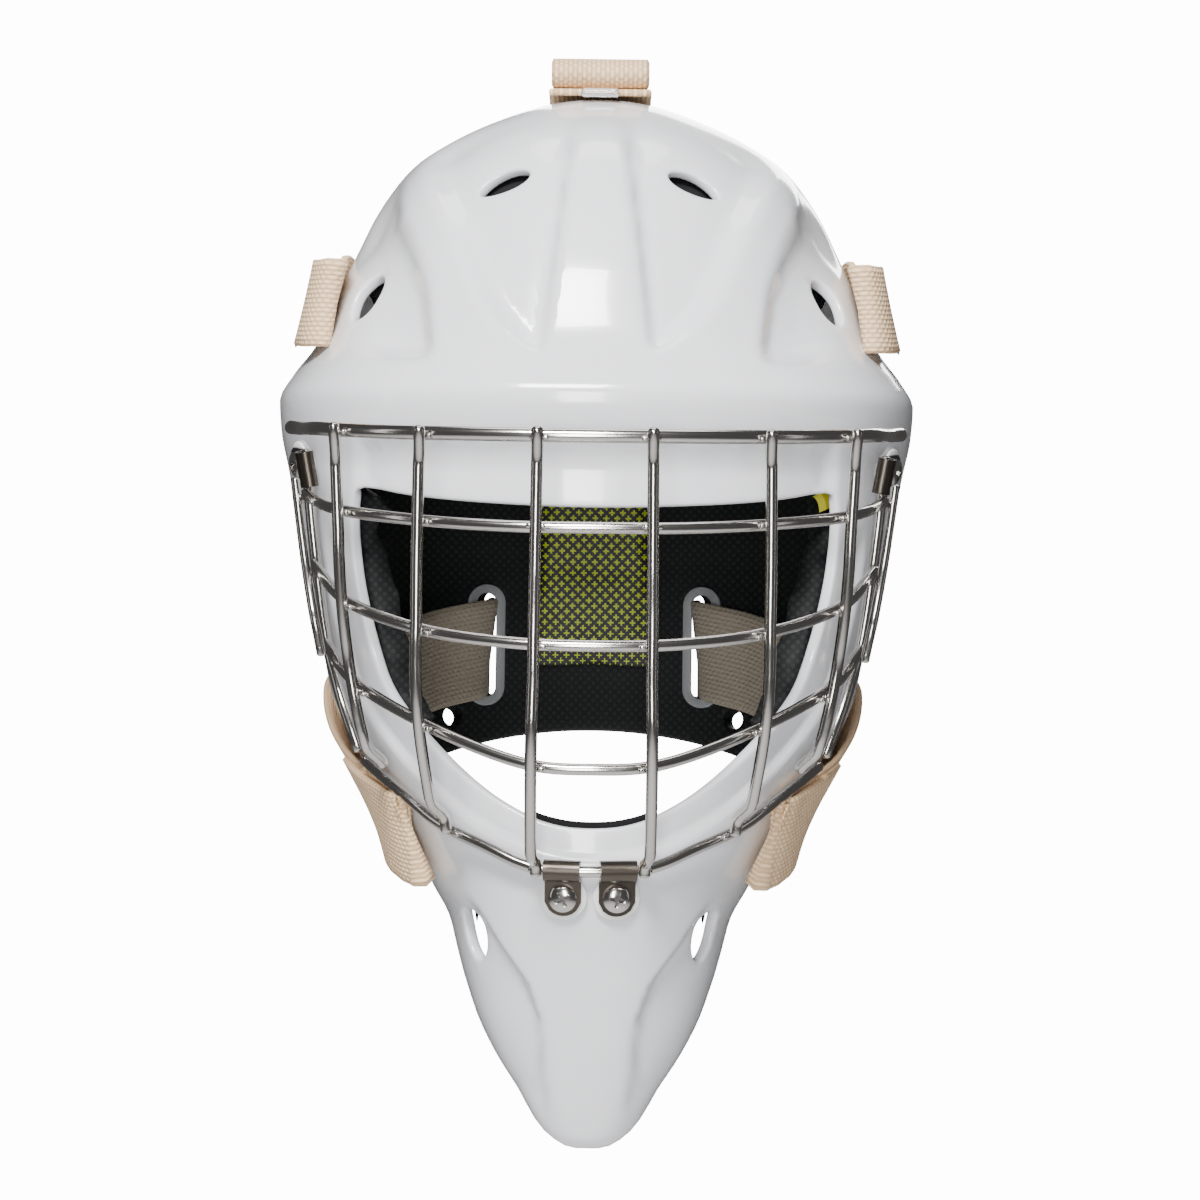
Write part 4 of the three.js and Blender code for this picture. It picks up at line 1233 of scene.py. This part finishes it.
# Lines on the plate: share of the way to its side edge, z, depth inside its outer face, and skew.
UPPER_ON_PLATE = [(1.0, 75, -6), (0.9, 69, -4.2), (0.78, 64, -4.2)]
LOWER_ON_PLATE = [
    (0.366, -33, 3, 0.02), (0.372, -33.5, 10, 0.022), (0.45, -35, 16, 0.03), (0.66, -39, 16.5, 0),
    (0.85, -44, 16, 0),
]  # fmt: skip


def band(name, places, width, thick, used=None, slot_name="elastic"):
    """A flat band with rounded edges through places, each a middle and a direction across the width."""
    middles = catmull([p[0] for p in places], 70)
    stations = np.linspace(0, 1, len(places))
    leans = np.array([p[1] for p in places])
    at = np.linspace(0, 1, len(middles))
    leans = np.stack([np.interp(at, stations, leans[:, k]) for k in range(3)], axis=1)
    along = unit(np.gradient(middles, axis=0))
    sides = unit(leans - along * np.sum(leans * along, axis=1, keepdims=True))
    outs = np.cross(along, sides)
    lengths = np.concatenate([[0], np.cumsum(np.linalg.norm(np.diff(middles, axis=0), axis=1))])
    flat = np.linspace(-1, 1, 15)
    reach = width / 2 - RIBBON_EDGE
    profile = [(s * reach, thick / 2) for s in flat] + [(width / 2, 0)]
    profile += [(s * reach, -thick / 2) for s in flat[::-1]] + [(-width / 2, 0)]
    points, uv = [], []
    for middle, side, out, length in zip(middles, sides, outs, lengths):
        for across, up in profile:
            points.append(middle + side * across + out * up)
            uv.append((length, across))
    faces = ring_faces(len(middles), len(profile))
    return new_piece(name, points, faces, used or ELASTIC, slot_name, uv=uv)


def on_shell_side(side, y, z, lift, width):
    """A place beside the shell. The further off it is, the less the band leans with the shell."""
    edges = np.array([z + width / 2, z - width / 2])
    out = side_x(y, edges) + lift
    out += (out.mean() - out) * smooth((lift - 5) / 12)
    high, low = (np.array([side * x, y, edge]) for x, edge in zip(out, edges))
    return (high + low) / 2, high - low


def on_plate(side, share, z, depth, width, skew=0.0):
    """A place on the plate, whose top edge is nearer to the middle of the plate by twice the skew."""
    high = plate_point(np.array(side * (share - skew) * PLATE_REACH), np.array(z + width / 2), depth)
    low = plate_point(np.array(side * (share + skew) * PLATE_REACH), np.array(z - width / 2), depth)
    return (high + low) / 2, high - low


def over_head(y, z):
    return np.array([0.0, y, z]), np.array([1.0, 0, 0])


def make_top_strap():
    strap = band("strap_top", [over_head(*p) for p in TOP_STRAP], RIBBON_WIDTH, RIBBON_THICK)
    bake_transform(strap)
    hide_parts("top_strap")
    fold = band("strap_top_fold", [over_head(*p) for p in TOP_FOLD], TOP_FOLD_WIDTH, RIBBON_THICK)
    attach(fold, BODY)
    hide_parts("top_strap_tail")
    keeper = band("keeper_top", [over_head(*p) for p in TOP_KEEPER], 14, 3, CLEAR, "clear_plastic")
    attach(keeper, BODY)
    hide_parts("top_keeper")


def make_upper_strap(side, label):
    """One band from its folded end, along the shell and over its rear edge, to the plate."""
    line = [on_shell_side(side, *p, UPPER_WIDTH) for p in UPPER_FOLD + UPPER_ON_SHELL]
    line += [on_plate(side, *p, UPPER_WIDTH) for p in UPPER_ON_PLATE]
    strap = band(f"strap_upper_{label}", line, UPPER_WIDTH, RIBBON_THICK)
    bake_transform(strap)
    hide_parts(f"upper_strap_{label}")
    grip = [on_shell_side(side, *p, UPPER_WIDTH) for p in UPPER_KEEPER]
    keeper = band(f"keeper_upper_{label}", grip, UPPER_WIDTH + 1, 1, CLEAR, "clear_plastic")
    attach(keeper, BODY)
    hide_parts(f"upper_keeper_{label}")


def make_lower_strap(side, label):
    """A band from its slot in the plate, out past the shell's rear edge and forward, and its folded end."""
    line = [on_plate(side, *p[:3], RIBBON_WIDTH, skew=p[3]) for p in LOWER_ON_PLATE]
    line += [on_shell_side(side, *p, RIBBON_WIDTH) for p in LOWER_ON_SHELL]
    strap = band(f"strap_lower_{label}", line, RIBBON_WIDTH, RIBBON_THICK, SHADE_PAINTED_ELASTIC)
    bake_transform(strap)
    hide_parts(f"lower_strap_{label}")
    tail = [on_shell_side(side, *p, LOWER_FOLD_WIDTH) for p in LOWER_FOLD]
    fold = band(f"strap_lower_{label}_fold", tail, LOWER_FOLD_WIDTH, RIBBON_THICK)
    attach(fold, BODY)
    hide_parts(f"lower_strap_tail_{label}")


def make_straps():
    make_top_strap()
    for side, label in ((-1, "right"), (1, "left")):
        make_upper_strap(side, label)
        make_lower_strap(side, label)


# ---- room and light ---------------------------------------------------------------------------------

# Brightness of the dim room that lights the mask, and of the white backdrop seen behind it.
ROOM_LIGHT = 0.1
BACKDROP = 14.0
FLOOR_Z = -0.75
FLOOR_RADIUS = 1.9
# Lights that face the middle of the mask: place and size in metres, and power in watts.
LIGHTS = {
    "key": ((-0.3, -1.6, 1.5), (0.7, 0.6), 112),
    "left": ((-1.7, -0.5, 0.3), (0.15, 1.4), 1.5),
    "right": ((1.7, -0.7, 0.2), (0.15, 1.4), 0.8),
    "top": ((0, 0.4, 1.8), (1.0, 0.8), 10),
    "rear": ((0.3, 2.0, 0.9), (1.0, 0.8), 26),
    "front": ((-0.15, -2.4, 0), (0.4, 1.3), 44),
}


def area_light(name, place, size, power):
    data = bpy.data.lights.new(name, "AREA")
    data.shape = "RECTANGLE"
    data.size, data.size_y = size
    data.energy = power
    light = bpy.data.objects.new(name, data)
    bpy.context.scene.collection.objects.link(light)
    light.location = place
    light.visible_camera = False
    light.rotation_euler = (Vector((0, 0, 0)) - Vector(place)).to_track_quat("-Z", "Y").to_euler()


def make_floor():
    """A pale disc well below the mask, which fades out into the backdrop."""
    place = (0, 0, FLOOR_Z)
    bpy.ops.mesh.primitive_circle_add(vertices=96, radius=FLOOR_RADIUS, fill_type="NGON", location=place)
    floor = bpy.context.object
    floor.name = "floor"
    pale = material("floor_pale", (0.75, 0.75, 0.75), 0.9)
    where = node(pale, "ShaderNodeTexCoord")
    away = node(pale, "ShaderNodeVectorMath", operation="LENGTH")
    limits = {"From Min": 0.2, "From Max": FLOOR_RADIUS, "To Min": 1, "To Max": 0}
    fade = node(pale, "ShaderNodeMapRange", limits, interpolation_type="SMOOTHSTEP")
    link(pale, where.outputs["Object"], away.inputs[0])
    link(pale, away.outputs["Value"], fade.inputs["Value"])
    link(pale, fade.outputs["Result"], shader_input(pale, "Alpha"))
    floor.data.materials.append(pale)


def make_room():
    world = bpy.data.worlds.new("room")
    bpy.context.scene.world = world
    world.use_nodes = True
    ray = node(world, "ShaderNodeLightPath")
    strength = node(world, "ShaderNodeMapRange", {"To Min": ROOM_LIGHT, "To Max": BACKDROP})
    background = world.node_tree.nodes["Background"]
    background.inputs["Color"].default_value = (1, 1, 1, 1)
    link(world, ray.outputs["Is Camera Ray"], strength.inputs["Value"])
    link(world, strength.outputs["Result"], background.inputs["Strength"])
    make_floor()
    for name, settings in LIGHTS.items():
        area_light(name, *settings)


# ---- build ------------------------------------------------------------------------------------------

make_camera()
make_shell()
make_cage()
make_clips()
make_pads()
make_plate()
make_slot_trims()
make_centre_pad()
make_straps()
for name, cad_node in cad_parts.items():
    if name.startswith("nut_"):
        cad_node.data.materials.clear()
        cad_node.data.materials.append(STEEL)
make_room()
